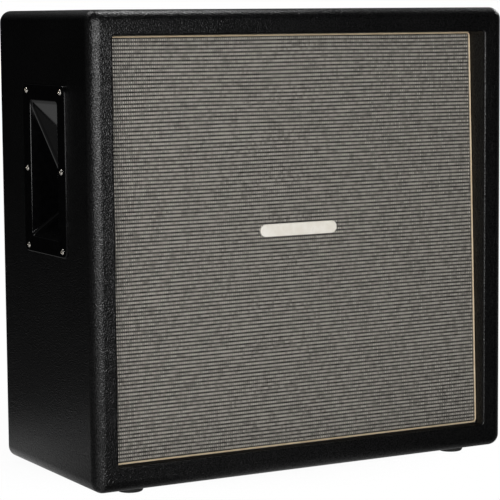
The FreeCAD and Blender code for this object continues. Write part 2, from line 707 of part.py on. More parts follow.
def rear_screw_cups():
    """Sloped cup washers under the rear panel's screws."""
    cups = []
    for x, z in panel_screw_places():
        cone = Part.makeCone(PANEL_CUP_DIAMETER / 2, PANEL_SCREW_HEAD_DIAMETER / 2, PANEL_CUP_HEIGHT,
                             Vector(x, PANEL_FACE, z), ALONG_Y)
        seat = Vector(x, PANEL_FACE + PANEL_CUP_HEIGHT, z)
        cups.append(cone.cut(pilot(PANEL_SCREW_DIAMETER, seat, -ALONG_Y, PANEL_SCREW_LENGTH)))
    return group(cups)


def jack_plate():
    rise = FLOOR_OF_BODY + JACK_RISE
    outer = PANEL_FACE + JACK_PLATE
    plate = upright_prism(JACK_PLATE_WIDTH, JACK_PLATE_HEIGHT, PANEL_FACE, outer, rise, JACK_PLATE_ROUND)
    start = Vector(0, PANEL_FACE - OVERRUN, rise)
    bush = rod(JACK_BUSH_DIAMETER + 2 * SCREW_GAP, start, ALONG_Y, JACK_PLATE + 2 * OVERRUN)
    return plate.cut(group([bush] + jack_pilots()))


def jack_plate_screws():
    screws = []
    for x, z in jack_screw_places():
        screws.append(domed_screw(JACK_SCREW_DIAMETER, JACK_SCREW_LENGTH, JACK_SCREW_HEAD_DIAMETER,
                                  JACK_SCREW_HEAD_HEIGHT, Vector(x, PANEL_FACE + JACK_PLATE, z), -ALONG_Y))
    return group(screws)


def jack_lug_end(side):
    """Middle of a socket lug's wire end."""
    tip = PANEL_FACE - JACK_BODY_LENGTH - JACK_LUG_LENGTH
    return Vector(side * JACK_LUG_SPACING / 2, tip, FLOOR_OF_BODY + JACK_RISE)


def jack_socket():
    """Quarter-inch socket: square body behind the plate, threaded bush through it, two solder lugs."""
    rise = FLOOR_OF_BODY + JACK_RISE
    body = upright_prism(JACK_BODY_WIDTH, JACK_BODY_WIDTH, PANEL_FACE - JACK_BODY_LENGTH, PANEL_FACE, rise)
    bush = rod(JACK_BUSH_DIAMETER, Vector(0, PANEL_FACE - OVERRUN, rise), ALONG_Y, OVERRUN + JACK_BUSH_REACH)
    mouth = PANEL_FACE + JACK_BUSH_REACH
    blind_end = Vector(0, mouth - JACK_BORE_LENGTH, rise)
    bore = rod(JACK_BORE_DIAMETER, blind_end, ALONG_Y, JACK_BORE_LENGTH + OVERRUN)
    lugs = []
    for side in (-1, 1):
        end = jack_lug_end(side)
        low = end - Vector(JACK_LUG_THICKNESS / 2, 0, JACK_LUG_WIDTH / 2)
        high = end + Vector(JACK_LUG_THICKNESS / 2, JACK_LUG_LENGTH + OVERRUN, JACK_LUG_WIDTH / 2)
        lugs.append(span_box(tuple(low), tuple(high)))
    return body.multiFuse([bush, *lugs]).cut(bore).removeSplitter()


def jack_nut():
    start = Vector(0, PANEL_FACE + JACK_PLATE, FLOOR_OF_BODY + JACK_RISE)
    nut = hexagon(JACK_NUT_ACROSS_FLATS, JACK_NUT_HEIGHT, start, ALONG_Y)
    below = start - ALONG_Y * OVERRUN
    hole = rod(JACK_BUSH_DIAMETER + 2 * SCREW_GAP, below, ALONG_Y, JACK_NUT_HEIGHT + 2 * OVERRUN)
    return nut.cut(hole)


# Handles. Each is modelled as the left one and turned half round for the right.

def rounded_outline(half_width, top, foot, top_turn, foot_turn, x):
    """Closed wire in a plane of constant X: an upright oblong with rounded corners."""
    arc_shares = (0, 1 / 2, 1)
    arcs = []
    corners = ((1, top - top_turn, top_turn), (-1, top - top_turn, top_turn),
               (-1, foot + foot_turn, foot_turn), (1, foot + foot_turn, foot_turn))
    for quarter, (side, middle_z, turn) in enumerate(corners):
        middle = Vector(x, side * (half_width - turn), middle_z)
        angles = [math.pi / 2 * (quarter + share) for share in arc_shares]
        arcs.append([middle + Vector(0, math.cos(angle), math.sin(angle)) * turn for angle in angles])
    edges = []
    for arc, following in zip(arcs, arcs[1:] + arcs[:1]):
        edges += [Part.Arc(*arc).toShape(), Part.makeLine(arc[-1], following[0])]
    return Part.Wire(edges)


def mouth_outline(grow, x):
    """The handle's mouth, grown on every side, in a plane of constant X."""
    half_y, half_z = HANDLE_MOUTH_WIDTH / 2 + grow, HANDLE_MOUTH_HEIGHT / 2 + grow
    turn = HANDLE_MOUTH_TURN + grow
    return rounded_outline(half_y, half_z, -half_z, turn, turn, x)


def scoop_end(grow):
    """Inner end of the scoop: low down, where the hood above it runs inward."""
    half_y, half_z = HANDLE_MOUTH_WIDTH / 2 + grow, HANDLE_MOUTH_HEIGHT / 2 + grow
    return rounded_outline(half_y - SCOOP_SIDE_DRAW, half_z - SCOOP_TOP_DROP, -half_z + SCOOP_FOOT_RISE,
                           SCOOP_TOP_TURN + grow, SCOOP_FOOT_TURN + grow, -WIDTH / 2 + SCOOP_DEPTH + grow)


def finger_pocket(grow):
    """Room for the fingers behind the hood, grown by a wall on every side."""
    face = -WIDTH / 2 + SCOOP_DEPTH
    low = (face - grow, -POCKET_WIDTH / 2 - grow, -POCKET_FALL - grow)
    high = (face + POCKET_DEPTH + grow, POCKET_WIDTH / 2 + grow, POCKET_RISE + grow)
    pocket = span_box(low, high)
    return pocket.makeFillet(POCKET_CORNER_ROUND + grow, edges_along(pocket, ALONG_X))


def handle_shell():
    """Outside of the dish, from the back of the plate."""
    scoop = Part.makeLoft([mouth_outline(HANDLE_WALL, -WIDTH / 2), scoop_end(HANDLE_WALL)], True, True)
    return scoop.fuse(finger_pocket(HANDLE_WALL))


def handle_hollow():
    """Inside of the dish, with a rounded lip at the plate's face."""
    face = -WIDTH / 2 - HANDLE_PLATE
    lip_steps = 3
    sections = []
    for k in range(lip_steps + 1):
        angle = math.pi / 2 * k / lip_steps
        flare = HANDLE_MOUTH_ROUND * (1 - math.sin(angle))
        depth = HANDLE_MOUTH_ROUND * (1 - math.cos(angle))
        sections.append(mouth_outline(flare, face + depth))
    scoop = Part.makeLoft(sections + [scoop_end(0)], True, True)
    return scoop.fuse(finger_pocket(0))


def left_handle():
    half_y, half_z = HANDLE_WIDTH / 2, HANDLE_HEIGHT / 2
    face = -WIDTH / 2 - HANDLE_PLATE
    plate = span_box((face, -half_y, -half_z), (-WIDTH / 2, half_y, half_z))
    plate = plate.makeFillet(HANDLE_CORNER_ROUND, edges_along(plate, ALONG_X))
    plate = plate.makeFillet(HANDLE_EDGE_ROUND, edges_at(plate, 0, face))
    dish = plate.fuse(handle_shell()).cut(handle_hollow())
    handle = dish.translated(Vector(0, -HANDLE_FORWARD, FLOOR_OF_BODY + HANDLE_RISE))
    holes = []
    for y, z in handle_screw_places():
        holes.append(pilot(HANDLE_SCREW_DIAMETER, Vector(face, y, z), ALONG_X, HANDLE_SCREW_LENGTH))
    return handle.cut(group(holes)).removeSplitter()


def right_handle(left):
    half_turn_deg = 180
    return left.copy().rotate(Vector(0, -HANDLE_FORWARD, 0), ALONG_Z, half_turn_deg)


def handle_screws():
    screws = []
    for side in (-1, 1):
        for y, z in handle_screw_places():
            seat = Vector(side * (WIDTH / 2 + HANDLE_PLATE), y, z)
            screws.append(domed_screw(HANDLE_SCREW_DIAMETER, HANDLE_SCREW_LENGTH, HANDLE_SCREW_HEAD_DIAMETER,
                                      HANDLE_SCREW_HEAD_HEIGHT, seat, Vector(-side, 0, 0)))
    return group(screws)


# Feet.

def rubber_feet():
    """Tapered rubber feet, sunk underneath for the washer and the screw's head."""
    feet = []
    hole = FOOT_SCREW_DIAMETER / 2 + SCREW_GAP
    for x, y in foot_places():
        base, top = FOOT_BASE_DIAMETER / 2, FOOT_TOP_DIAMETER / 2
        foot = Part.makeCone(base, top, FOOT_HEIGHT, Vector(x, y, 0), ALONG_Z)
        foot = foot.makeFillet(FOOT_BASE_ROUND, edges_at(foot, 2, 0))
        sink = rod(FOOT_SINK_DIAMETER, Vector(x, y, -OVERRUN), ALONG_Z, OVERRUN + FOOT_SINK_DEPTH)
        bore = rod(2 * hole, Vector(x, y, 0), ALONG_Z, FOOT_HEIGHT + OVERRUN)
        feet.append(foot.cut(group([sink, bore])))
    return group(feet)


def foot_screws():
    """Screws of the feet."""
    screws = []
    for x, y in foot_places():
        seat = Vector(x, y, FOOT_SINK_DEPTH - FOOT_WASHER)
        screws.append(domed_screw(FOOT_SCREW_DIAMETER, FOOT_SCREW_LENGTH, FOOT_SCREW_HEAD_DIAMETER,
                                  FOOT_SCREW_HEAD_HEIGHT, seat, ALONG_Z))
    return group(screws)


def foot_washers():
    washers = []
    outer = FOOT_SINK_DIAMETER - 2 * FOOT_WASHER_GAP
    for x, y in foot_places():
        start = Vector(x, y, FOOT_SINK_DEPTH - FOOT_WASHER)
        below = start - ALONG_Z * OVERRUN
        hole = rod(FOOT_SCREW_DIAMETER + 2 * SCREW_GAP, below, ALONG_Z, FOOT_WASHER + 2 * OVERRUN)
        washers.append(rod(outer, start, ALONG_Z, FOOT_WASHER).cut(hole))
    return group(washers)


# Drivers. Each piece is turned about the driver's axis, depth running back from the gasket's face.

def place_driver(shape, corner):
    """Driver piece moved behind the baffle at a corner, then leaned with it."""
    sx, sz = CORNERS[corner]
    return lean(shape.translated(Vector(sx * DRIVER_X, BAFFLE_REAR, sz * DRIVER_Z)))


def band(points, sheet, depth_sign=1):
    """Closed outline of a sheet that follows a line of (radius, depth) points, thickened along the depth."""
    return points + [(r, y + depth_sign * sheet) for r, y in reversed(points)]


def wave_line(r_from, r_to, depth, waves, height, steps_per_wave=8):
    """Corrugated line: whole sine waves across a ring, starting and ending level."""
    count = waves * steps_per_wave
    line = []
    for k in range(count + 1):
        share = k / count
        lift = height / 2 * math.sin(2 * math.pi * waves * share)
        line.append((r_from + (r_to - r_from) * share, depth + lift))
    return line


def driver_bolt_holes(length):
    """Bolt holes through a driver's rim, as cutters."""
    reach = BOLT_CIRCLE_DIAMETER / 2
    return [pilot(BOLT_DIAMETER, Vector(reach * math.cos(a), 0, reach * math.sin(a)), ALONG_Y, length)
            for a in bolt_angles()]


def gasket():
    inner, rim = GASKET_BORE_DIAMETER / 2, DRIVER_RIM_DIAMETER / 2
    ring = turned([(inner, 0), (rim, 0), (rim, GASKET), (inner, GASKET)])
    return ring.cut(group(driver_bolt_holes(GASKET)))


def cone_edge():
    """Corrugated paper edge: a lip glued over the cone, three waves, and a flat rim under the gasket."""
    cone_radius, wall_radius = CONE_DIAMETER / 2, BASKET_WALL_DIAMETER / 2
    rim = DRIVER_RIM_DIAMETER / 2
    line = [(cone_radius - GLUE_LAP, GASKET)]
    line += wave_line(cone_radius, wall_radius, GASKET, EDGE_WAVES, EDGE_WAVE_HEIGHT)
    line.append((rim, GASKET))
    return turned(band(line, EDGE_SHEET)).cut(group(driver_bolt_holes(FLANGE_DEPTH)))


def basket():
    """Pressed steel basket: rim, shoulder, sloping wall with windows, spider ledge, neck and back ring."""
    rim, wall = DRIVER_RIM_DIAMETER / 2, BASKET_WALL_DIAMETER / 2
    shoulder, ledge = BASKET_SHOULDER_DIAMETER / 2, SPIDER_LEDGE_DIAMETER / 2
    neck, hole = BASKET_NECK_DIAMETER / 2, BASKET_BACK_BORE_DIAMETER / 2
    t = BASKET_SHEET
    line = [(rim, FLANGE_DEPTH), (wall, FLANGE_DEPTH), (shoulder, BASKET_SHOULDER_DEPTH),
            (ledge, SPIDER_LEDGE_DEPTH), (neck, SPIDER_LEDGE_DEPTH),
            (neck, BASKET_BACK_DEPTH - t), (hole, BASKET_BACK_DEPTH - t)]
    back = [(hole, BASKET_BACK_DEPTH), (neck + t, BASKET_BACK_DEPTH), (neck + t, SPIDER_LEDGE_DEPTH + t),
            (ledge + t, SPIDER_LEDGE_DEPTH + t), (shoulder + t, BASKET_SHOULDER_DEPTH + t),
            (wall + t, FLANGE_DEPTH + t), (rim, FLANGE_DEPTH + t)]
    shell = turned(line + back)
    run = SPIDER_LEDGE_DEPTH - BASKET_SHOULDER_DEPTH
    top = BASKET_SHOULDER_DEPTH + run * WINDOW_TOP_SHARE
    foot = BASKET_SHOULDER_DEPTH + run * WINDOW_FOOT_SHARE
    window_turn_deg = 360 / WINDOWS * WINDOW_TURN_SHARE
    wedge = Part.Face(Part.makePolygon([Vector(neck, top, 0), Vector(rim, top, 0), Vector(rim, foot, 0),
                                        Vector(neck, foot, 0), Vector(neck, top, 0)]))
    wedge = wedge.revolve(Vector(0, 0, 0), ALONG_Y, window_turn_deg)
    windows = []
    for k in range(WINDOWS):
        window_step_deg = 360 / WINDOWS * k
        windows.append(wedge.copy().rotate(Vector(0, 0, 0), ALONG_Y, window_step_deg))
    return shell.cut(group(windows + driver_bolt_holes(FLANGE_DEPTH + t + OVERRUN)))


def former_outer():
    return COIL_DIAMETER / 2 + FORMER_SHEET


def arched_sheet(rim_point, middle, inner_point, sheet):
    """Turned sheet whose front follows an arc through three points, its back the same arc set deeper."""
    drop = Vector(0, sheet, 0)
    front = Part.Arc(rim_point, middle, inner_point).toShape()
    back = Part.Arc(rim_point + drop, middle + drop, inner_point + drop).toShape()
    ends = [Part.makeLine(rim_point, rim_point + drop), Part.makeLine(inner_point, inner_point + drop)]
    return turned(Part.Wire(Part.__sortEdges__([front, back, *ends])))


def cone_line():
    """Rim, middle and neck of the cone's bowed front face."""
    rim, neck = CONE_DIAMETER / 2, former_outer()
    top, foot = GASKET + EDGE_SHEET, CONE_NECK_DEPTH
    bow = (rim - neck) * CONE_BOW_SHARE
    middle = Vector((rim + neck) / 2 - bow * (foot - top) / (rim - neck), (top + foot) / 2 + bow, 0)
    return Vector(rim, top, 0), middle, Vector(neck, foot, 0)


def cone():
    """Paper cone: a bowed sheet from its rim to its neck on the voice coil."""
    return arched_sheet(*cone_line(), CONE_SHEET)


def cone_depth_at(radius):
    """Depth of the cone's front face at a radius."""
    line = Part.Arc(*cone_line()).toShape()
    reach = CONE_NECK_DEPTH
    upright = Part.makeLine(Vector(radius, -reach, 0), Vector(radius, 2 * reach, 0))
    return line.distToShape(upright)[1][0][0].y


def dust_cap():
    """Domed paper cap glued to the cone over the voice coil."""
    radius = CAP_DIAMETER / 2
    seat = cone_depth_at(radius) - CAP_SHEET
    crown = seat - CAP_RISE
    rim_point, top_point = Vector(radius, seat, 0), Vector(0, crown, 0)
    return arched_sheet(rim_point, dome_middle(radius, seat, crown), top_point, CAP_SHEET)


def voice_coil():
    """Coil former with its winding at the rear end, centred on the top plate's gap."""
    inner, outer = COIL_DIAMETER / 2, former_outer()
    gap_middle = BASKET_BACK_DEPTH + TOP_PLATE / 2
    tail = gap_middle + WINDING_LENGTH / 2
    head = gap_middle - WINDING_LENGTH / 2
    wound = outer + WINDING_SHEET
    return turned([(inner, CONE_NECK_DEPTH), (outer, CONE_NECK_DEPTH), (outer, head), (wound, head),
                   (wound, tail), (inner, tail)])


def spider():
    """Corrugated cloth ring between the former and the basket's ledge."""
    inner, outer = former_outer() + SPIDER_GLUE, SPIDER_LEDGE_DIAMETER / 2
    ledge = BASKET_NECK_DIAMETER / 2
    depth = SPIDER_LEDGE_DEPTH - SPIDER_SHEET
    line = wave_line(inner, ledge, depth, SPIDER_WAVES, SPIDER_WAVE_HEIGHT)
    line.append((outer, depth))
    return turned(band(line, SPIDER_SHEET))


def gap_radius():
    """Radius of the top plate's bore: the wound coil and its clearance."""
    return former_outer() + WINDING_SHEET + GAP_CLEARANCE


def top_plate():
    outer, start = TOP_PLATE_DIAMETER / 2, BASKET_BACK_DEPTH
    inner, end = gap_radius(), start + TOP_PLATE
    return turned([(inner, start), (outer, start), (outer, end), (inner, end)])


def magnet():
    inner, outer = MAGNET_BORE_DIAMETER / 2, MAGNET_DIAMETER / 2
    start = BASKET_BACK_DEPTH + TOP_PLATE
    return turned([(inner, start), (outer, start), (outer, start + MAGNET), (inner, start + MAGNET)])


def yoke():
    """Back plate with the pole piece that stands up through the magnet."""
    pole = COIL_DIAMETER / 2 - GAP_CLEARANCE
    start = BASKET_BACK_DEPTH + TOP_PLATE + MAGNET
    outer, end, cut = BACK_PLATE_DIAMETER / 2, start + BACK_PLATE, BACK_PLATE_EDGE_CUT
    return turned([(0, BASKET_BACK_DEPTH), (pole, BASKET_BACK_DEPTH), (pole, start), (outer, start),
                   (outer, end - cut), (outer - cut, end), (0, end)])


def lug_reach():
    """Distance from the driver's axis to the wire end of its lugs."""
    return SPIDER_LEDGE_DIAMETER / 2 + LUG_LENGTH


def terminal():
    """Fibre block on the rear of the spider ledge with two solder lugs, pointing along +X."""
    seat = SPIDER_LEDGE_DEPTH + BASKET_SHEET
    outer = SPIDER_LEDGE_DIAMETER / 2
    low = (outer - TERMINAL_THICKNESS, seat, -TERMINAL_WIDTH / 2)
    block = span_box(low, (outer, seat + TERMINAL_LENGTH, TERMINAL_WIDTH / 2))
    depth = seat + TERMINAL_LENGTH - LUG_SETBACK
    lugs = []
    for side in (-1, 1):
        middle = side * LUG_SPACING / 2
        low = (outer, depth, middle - LUG_WIDTH / 2)
        lugs.append(span_box(low, (lug_reach(), depth + LUG_THICKNESS, middle + LUG_WIDTH / 2)))
    return block.multiFuse(lugs).removeSplitter()


def terminal_turn_deg(corner):
    """Turn about the driver's axis that points its terminal at the cabinet's middle."""
    sx, sz = CORNERS[corner]
    return math.degrees(math.atan2(sz * DRIVER_Z, -sx * DRIVER_X))


def placed_terminal(corner):
    turned_block = terminal().rotate(Vector(0, 0, 0), ALONG_Y, terminal_turn_deg(corner))
    return place_driver(turned_block, corner)


def driver_bolts():
    """Countersunk bolts through the baffle and the driver's rim."""
    length = BAFFLE + FLANGE_DEPTH + BASKET_SHEET + NUT_HEIGHT + BOLT_TAIL
    return group([lean(rod(BOLT_DIAMETER, p, ALONG_Y, length).fuse(bolt_head(p)).removeSplitter())
                  for p in driver_bolt_places()])


def driver_nuts():
    nuts = []
    for place in driver_bolt_places():
        start = place + ALONG_Y * (BAFFLE + FLANGE_DEPTH + BASKET_SHEET)
        nut = hexagon(NUT_ACROSS_FLATS, NUT_HEIGHT, start, ALONG_Y)
        below = start - ALONG_Y * OVERRUN
        hole = rod(BOLT_DIAMETER + 2 * SCREW_GAP, below, ALONG_Y, NUT_HEIGHT + 2 * OVERRUN)
        nuts.append(lean(nut.cut(hole)))
    return group(nuts)


# Wiring: left pair in series, right pair in series, both pairs in parallel at the socket.

def lug_end(corner, side):
    """Wire end of a driver's lug and the direction it points in, in the cabinet's frame."""
    sx, sz = CORNERS[corner]
    turn = Rotation(ALONG_Y, terminal_turn_deg(corner))
    depth = SPIDER_LEDGE_DEPTH + BASKET_SHEET + TERMINAL_LENGTH - LUG_SETBACK + LUG_THICKNESS / 2
    local = turn.multVec(Vector(lug_reach(), depth, side * LUG_SPACING / 2))
    centre = Vector(sx * DRIVER_X, BAFFLE_REAR, sz * DRIVER_Z)
    return LEAN.multVec(local + centre), LEAN.Rotation.multVec(turn.multVec(ALONG_X))


def wire(points):
    """Round wire along straight runs joined by tangent arcs, each as large as its two runs allow."""
    edges = []
    start = points[0]
    for before, corner, after in zip(points, points[1:], points[2:]):
        setback = BEND_RUN_SHARE * min((before - corner).Length, (after - corner).Length)
        a, b = (before - corner).normalize(), (after - corner).normalize()
        half_turn = (math.pi - a.getAngle(b)) / 2
        bend = setback / math.tan(half_turn)
        first, last = corner + a * setback, corner + b * setback
        inward = (a + b).normalize()
        middle = corner + inward * (bend / math.cos(half_turn) - bend)
        edges += [Part.makeLine(start, first), Part.Arc(first, middle, last).toShape()]
        start = last
    edges.append(Part.makeLine(start, points[-1]))
    path = Part.Wire(edges)
    ring = Part.Wire(Part.makeCircle(WIRE_DIAMETER / 2, points[0], points[1] - points[0]))
    return path.makePipeShell([ring], True, False)


def link_wire(upper, lower, side):
    """Wire from a lug of the upper driver to the lug below it."""
    top, top_way = lug_end(upper, side)
    foot, foot_way = lug_end(lower, -side)
    return wire([top, top + top_way * WIRE_LEAD, foot + foot_way * WIRE_LEAD, foot])


def jack_wire(corner, side, lug, offset):
    """Wire from a driver's lug to a lug of the socket."""
    end, way = lug_end(corner, side)
    start = jack_lug_end(lug) + Vector(0, 0, offset)
    sx = CORNERS[corner][0]
    out = end + way * WIRE_LEAD
    clear_x = sx * (POST / 2 + WIRE_POST_GAP)
    turn_in = Vector(clear_x, (start.y + out.y) / 2, (start.z + out.z) / 2)
    lead = start - ALONG_Y * WIRE_LEAD
    return wire([start, lead, turn_in, out, end])


def speaker_wiring():
    pair = WIRE_PAIR_SPACING / 2
    return group([
        link_wire("upper_left", "lower_left", -1),
        link_wire("upper_right", "lower_right", 1),
        jack_wire("upper_left", 1, -1, pair),
        jack_wire("upper_right", -1, 1, pair),
        jack_wire("lower_left", -1, -1, -pair),
        jack_wire("lower_right", 1, 1, -pair),
    ])


def all_nodes():
    """Every node's name and shape."""
    wood = wood_block()
    left = left_handle()
    nodes = dict(boards(wood))
    nodes["vinyl_covering"] = vinyl_covering(wood)
    nodes["front_battens"] = front_battens(wood)
    nodes["rear_battens"] = rear_battens()
    nodes["baffle_board"] = lean(baffle_board())
    nodes["baffle_screws"] = lean(baffle_screws())
    nodes["grille_cloth"] = lean(grille_cloth())
    nodes["grille_piping"] = lean(grille_piping())
    nodes["badge_plate"] = lean(badge_plate())
    nodes["centre_post"] = centre_post()
    nodes["rear_panel"] = rear_panel()
    nodes["rear_panel_vinyl"] = rear_panel_vinyl()
    nodes["rear_panel_screws"] = rear_panel_screws()
    nodes["rear_screw_cups"] = rear_screw_cups()
    nodes["left_handle"] = left
    nodes["right_handle"] = right_handle(left)
    nodes["handle_screws"] = handle_screws()
    nodes["rubber_feet"] = rubber_feet()
    nodes["foot_washers"] = foot_washers()
    nodes["foot_screws"] = foot_screws()
    nodes["jack_plate"] = jack_plate()
    nodes["jack_plate_screws"] = jack_plate_screws()
    nodes["jack_socket"] = jack_socket()
    nodes["jack_nut"] = jack_nut()
    nodes["speaker_wiring"] = speaker_wiring()
    nodes["driver_bolts"] = driver_bolts()
    nodes["driver_nuts"] = driver_nuts()
    shared = {"driver_gaskets": gasket(), "driver_top_plates": top_plate(), "driver_magnets": magnet(),
              "driver_yokes": yoke()}
    for name, shape in shared.items():
        nodes[name] = group([place_driver(shape, corner) for corner in CORNERS])
    nodes["driver_terminals"] = group([placed_terminal(corner) for corner in CORNERS])
    single = {"basket": basket(), "cone": cone(), "cone_edge": cone_edge(), "dust_cap": dust_cap(),
              "voice_coil": voice_coil(), "spider": spider()}
    for corner in CORNERS:
        for name, shape in single.items():
            nodes[corner + "_" + name] = place_driver(shape, corner)
    return nodes


def main():
    os.makedirs("parts", exist_ok=True)
    for name, shape in all_nodes().items():
        bad = [s for s in shape.Solids if not s.isValid() or s.Volume <= 0]
        volume = round(sum(s.Volume for s in shape.Solids))
        print(name, len(shape.Solids), "solids", volume, "mm3", "BAD" if bad else "")
        shape.exportStep(os.path.join("parts", name + ".step"))


main()
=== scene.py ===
import json
import math
import random

import bmesh
import bpy
from mathutils import Matrix, Vector


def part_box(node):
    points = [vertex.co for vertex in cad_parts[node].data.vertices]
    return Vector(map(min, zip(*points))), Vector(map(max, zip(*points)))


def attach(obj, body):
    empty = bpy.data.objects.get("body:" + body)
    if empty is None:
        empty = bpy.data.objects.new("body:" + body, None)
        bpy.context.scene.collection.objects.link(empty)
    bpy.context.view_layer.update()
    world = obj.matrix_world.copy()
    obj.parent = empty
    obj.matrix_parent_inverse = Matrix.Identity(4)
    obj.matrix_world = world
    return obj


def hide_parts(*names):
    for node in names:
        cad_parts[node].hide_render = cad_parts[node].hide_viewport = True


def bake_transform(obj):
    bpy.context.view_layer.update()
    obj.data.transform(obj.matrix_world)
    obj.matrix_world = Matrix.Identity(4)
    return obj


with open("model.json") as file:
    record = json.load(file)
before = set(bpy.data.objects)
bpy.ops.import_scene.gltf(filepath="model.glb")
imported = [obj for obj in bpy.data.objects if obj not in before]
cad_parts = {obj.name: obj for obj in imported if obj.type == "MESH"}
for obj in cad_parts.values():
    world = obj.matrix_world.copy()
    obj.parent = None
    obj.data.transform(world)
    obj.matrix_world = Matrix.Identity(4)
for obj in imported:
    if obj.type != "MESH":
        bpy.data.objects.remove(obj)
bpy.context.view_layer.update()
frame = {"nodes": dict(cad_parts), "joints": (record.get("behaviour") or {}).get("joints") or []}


# The four shell boards, the baffle and the rear panel: birch plywood, sawn and routed to shape.
# The shell is finger-jointed and glued at its corners before it is covered, so bare ply shows only inside.

MM = 0.001
PLY_PALE, PLY_DARK = (0.66, 0.50, 0.33), (0.50, 0.35, 0.21)
PLY_LINES_PER_METRE = 130
GRAIN_ALONG_X, GRAIN_ALONG_Z = (0.06, 1, 1), (1, 1, 0.06)
PORES_PER_LINE, PORE_DEPTH = 9, 0.2 * MM
WOOD_ROUGHNESS = (0.55, 0.8)


def start_finish(name):
    """A new procedural material and its surface shader."""
    finish = bpy.data.materials.new(name)
    finish.use_nodes = True
    return finish, finish.node_tree.nodes["Principled BSDF"]


def plug(finish, socket, value):
    """Links a socket to another node's output, or sets it to a plain value."""
    if isinstance(value, bpy.types.NodeSocket):
        finish.node_tree.links.new(value, socket)
    else:
        socket.default_value = value


def add(finish, kind, sockets=(), **settings):
    """A new node with its settings, and its sockets given as (name or number, value) pairs."""
    node = finish.node_tree.nodes.new(kind)
    for key, value in settings.items():
        setattr(node, key, value)
    for key, value in sockets:
        plug(finish, node.inputs[key], value)
    return node


def place_on_piece(finish, stretch=(1, 1, 1)):
    """Coordinates in metres that stay with the piece, stretched along its axes."""
    place = add(finish, "ShaderNodeTexCoord").outputs["Object"]
    return add(finish, "ShaderNodeMapping", [("Vector", place), ("Scale", stretch)]).outputs["Vector"]


def noise(finish, place, per_metre, detail=3.0, distortion=0.0):
    """Soft random cloud, from 0 to 1, with so many lumps in a metre."""
    return add(finish, "ShaderNodeTexNoise", [("Vector", place), ("Scale", per_metre), ("Detail", detail),
                                              ("Distortion", distortion)]).outputs["Fac"]


def remap(finish, value, start, end, low=0.0, high=1.0, interpolation="LINEAR"):
    """A number that runs from low to high as the value passes from start to end."""
    return add(finish, "ShaderNodeMapRange", [("Value", value), ("From Min", start), ("From Max", end),
                                              ("To Min", low), ("To Max", high)],
               interpolation_type=interpolation).outputs["Result"]


def between(finish, share, low, high):
    """A number that runs from low to high as the share runs from 0 to 1."""
    return remap(finish, share, 0.0, 1.0, low, high)


def two_tone(finish, share, first, second, low=0.35, high=0.65):
    """A colour that runs from the first to the second as the share passes from low to high."""
    ramp = add(finish, "ShaderNodeValToRGB", [("Fac", share)])
    for stop, place, colour in zip(ramp.color_ramp.elements, (low, high), (first, second)):
        stop.position = place
        stop.color = (*colour, 1.0)
    return ramp.outputs["Color"]


def relief(finish, surface, height, depth):
    """Fine relief of a given depth in metres on the surface."""
    bump = add(finish, "ShaderNodeBump", [("Height", height), ("Distance", depth), ("Strength", 1.0)])
    plug(finish, surface.inputs["Normal"], bump.outputs["Normal"])


def dress(finish, *names):
    """Gives the finish to the named pieces of the frame."""
    for name in names:
        for slot in frame["nodes"][name].material_slots:
            slot.material = finish


def wood_finish(name, pale, dark, stretch, lines_per_metre):
    """Sawn timber: long streaks along the grain, finer pores across them."""
    finish, surface = start_finish(name)
    place = place_on_piece(finish, stretch)
    streaks = noise(finish, place, lines_per_metre, detail=6.0, distortion=0.6)
    pores = noise(finish, place, PORES_PER_LINE * lines_per_metre, detail=2.0)
    plug(finish, surface.inputs["Base Color"], two_tone(finish, streaks, dark, pale, low=0.3, high=0.7))
    plug(finish, surface.inputs["Roughness"], between(finish, pores, *WOOD_ROUGHNESS))
    relief(finish, surface, pores, PORE_DEPTH)
    return finish


dress(wood_finish("birch_ply_level", PLY_PALE, PLY_DARK, GRAIN_ALONG_X, PLY_LINES_PER_METRE),
      "top_board", "bottom_board", "baffle_board", "rear_panel")
dress(wood_finish("birch_ply_upright", PLY_PALE, PLY_DARK, GRAIN_ALONG_Z, PLY_LINES_PER_METRE),
      "left_side_board", "right_side_board")


# Battens and the centre post: planed pine, glued and screwed inside the boards.
# The front ones make the wide front frame, the rear ones carry the rear panel.

PINE_PALE, PINE_DARK = (0.72, 0.54, 0.34), (0.56, 0.37, 0.19)
PINE_STRETCH, PINE_LINES_PER_METRE = (0.2, 0.2, 0.2), 260

dress(wood_finish("pine", PINE_PALE, PINE_DARK, PINE_STRETCH, PINE_LINES_PER_METRE),
      "front_battens", "rear_battens", "centre_post")


# Vinyl covering: black cloth-backed vinyl with an embossed leather grain, glued over the boards, drawn round
# the front frame into the recess, mitred at its corners, and round the rear edge. The rear panel has a piece
# of its own. The crests of the grain shine more than its pits, and dust dulls the top.

VINYL_BLACK, VINYL_WORN = (0.0009, 0.0009, 0.0010), (0.0015, 0.0015, 0.0016)
SMEARS_PER_METRE = 9.0
GRAIN_SIZE, GRAIN_DEPTH = 1.6 * MM, 0.58 * MM
GRAIN_UP_THE_SIDES, GRAIN_ACROSS = (1, 1, 0.75), (0.75, 1, 1)
GRAIN_SWAY_SHARE, GRAIN_DRIFT_SHARE = 0.35, 1.1
SWAY_MIDDLE = (0.5, 0.5, 0.5)
PIT_LEVEL, CREST_LEVEL = 0.36, 0.64
PIT_SHINE, CREST_SHINE = 0.17, 0.43
SEAM_WIDTH, SEAM_REACH, SEAM_DEPTH_SHARE = 0.9 * MM, 25 * MM, 0.15
CLEAN_ROUGHNESS, DUSTY_ROUGHNESS = (0.27, 0.31), (0.62, 0.74)
DUST_STARTS, DUST_FULL, DUSTY_SHINE_SHARE = 0.95, 0.995, 0.3


def calc(finish, operation, *values):
    """One step of arithmetic on sockets and numbers."""
    return add(finish, "ShaderNodeMath", list(enumerate(values)), operation=operation).outputs[0]


def along(finish, operation, *values):
    """One step of arithmetic on vectors."""
    return add(finish, "ShaderNodeVectorMath", list(enumerate(values)), operation=operation)


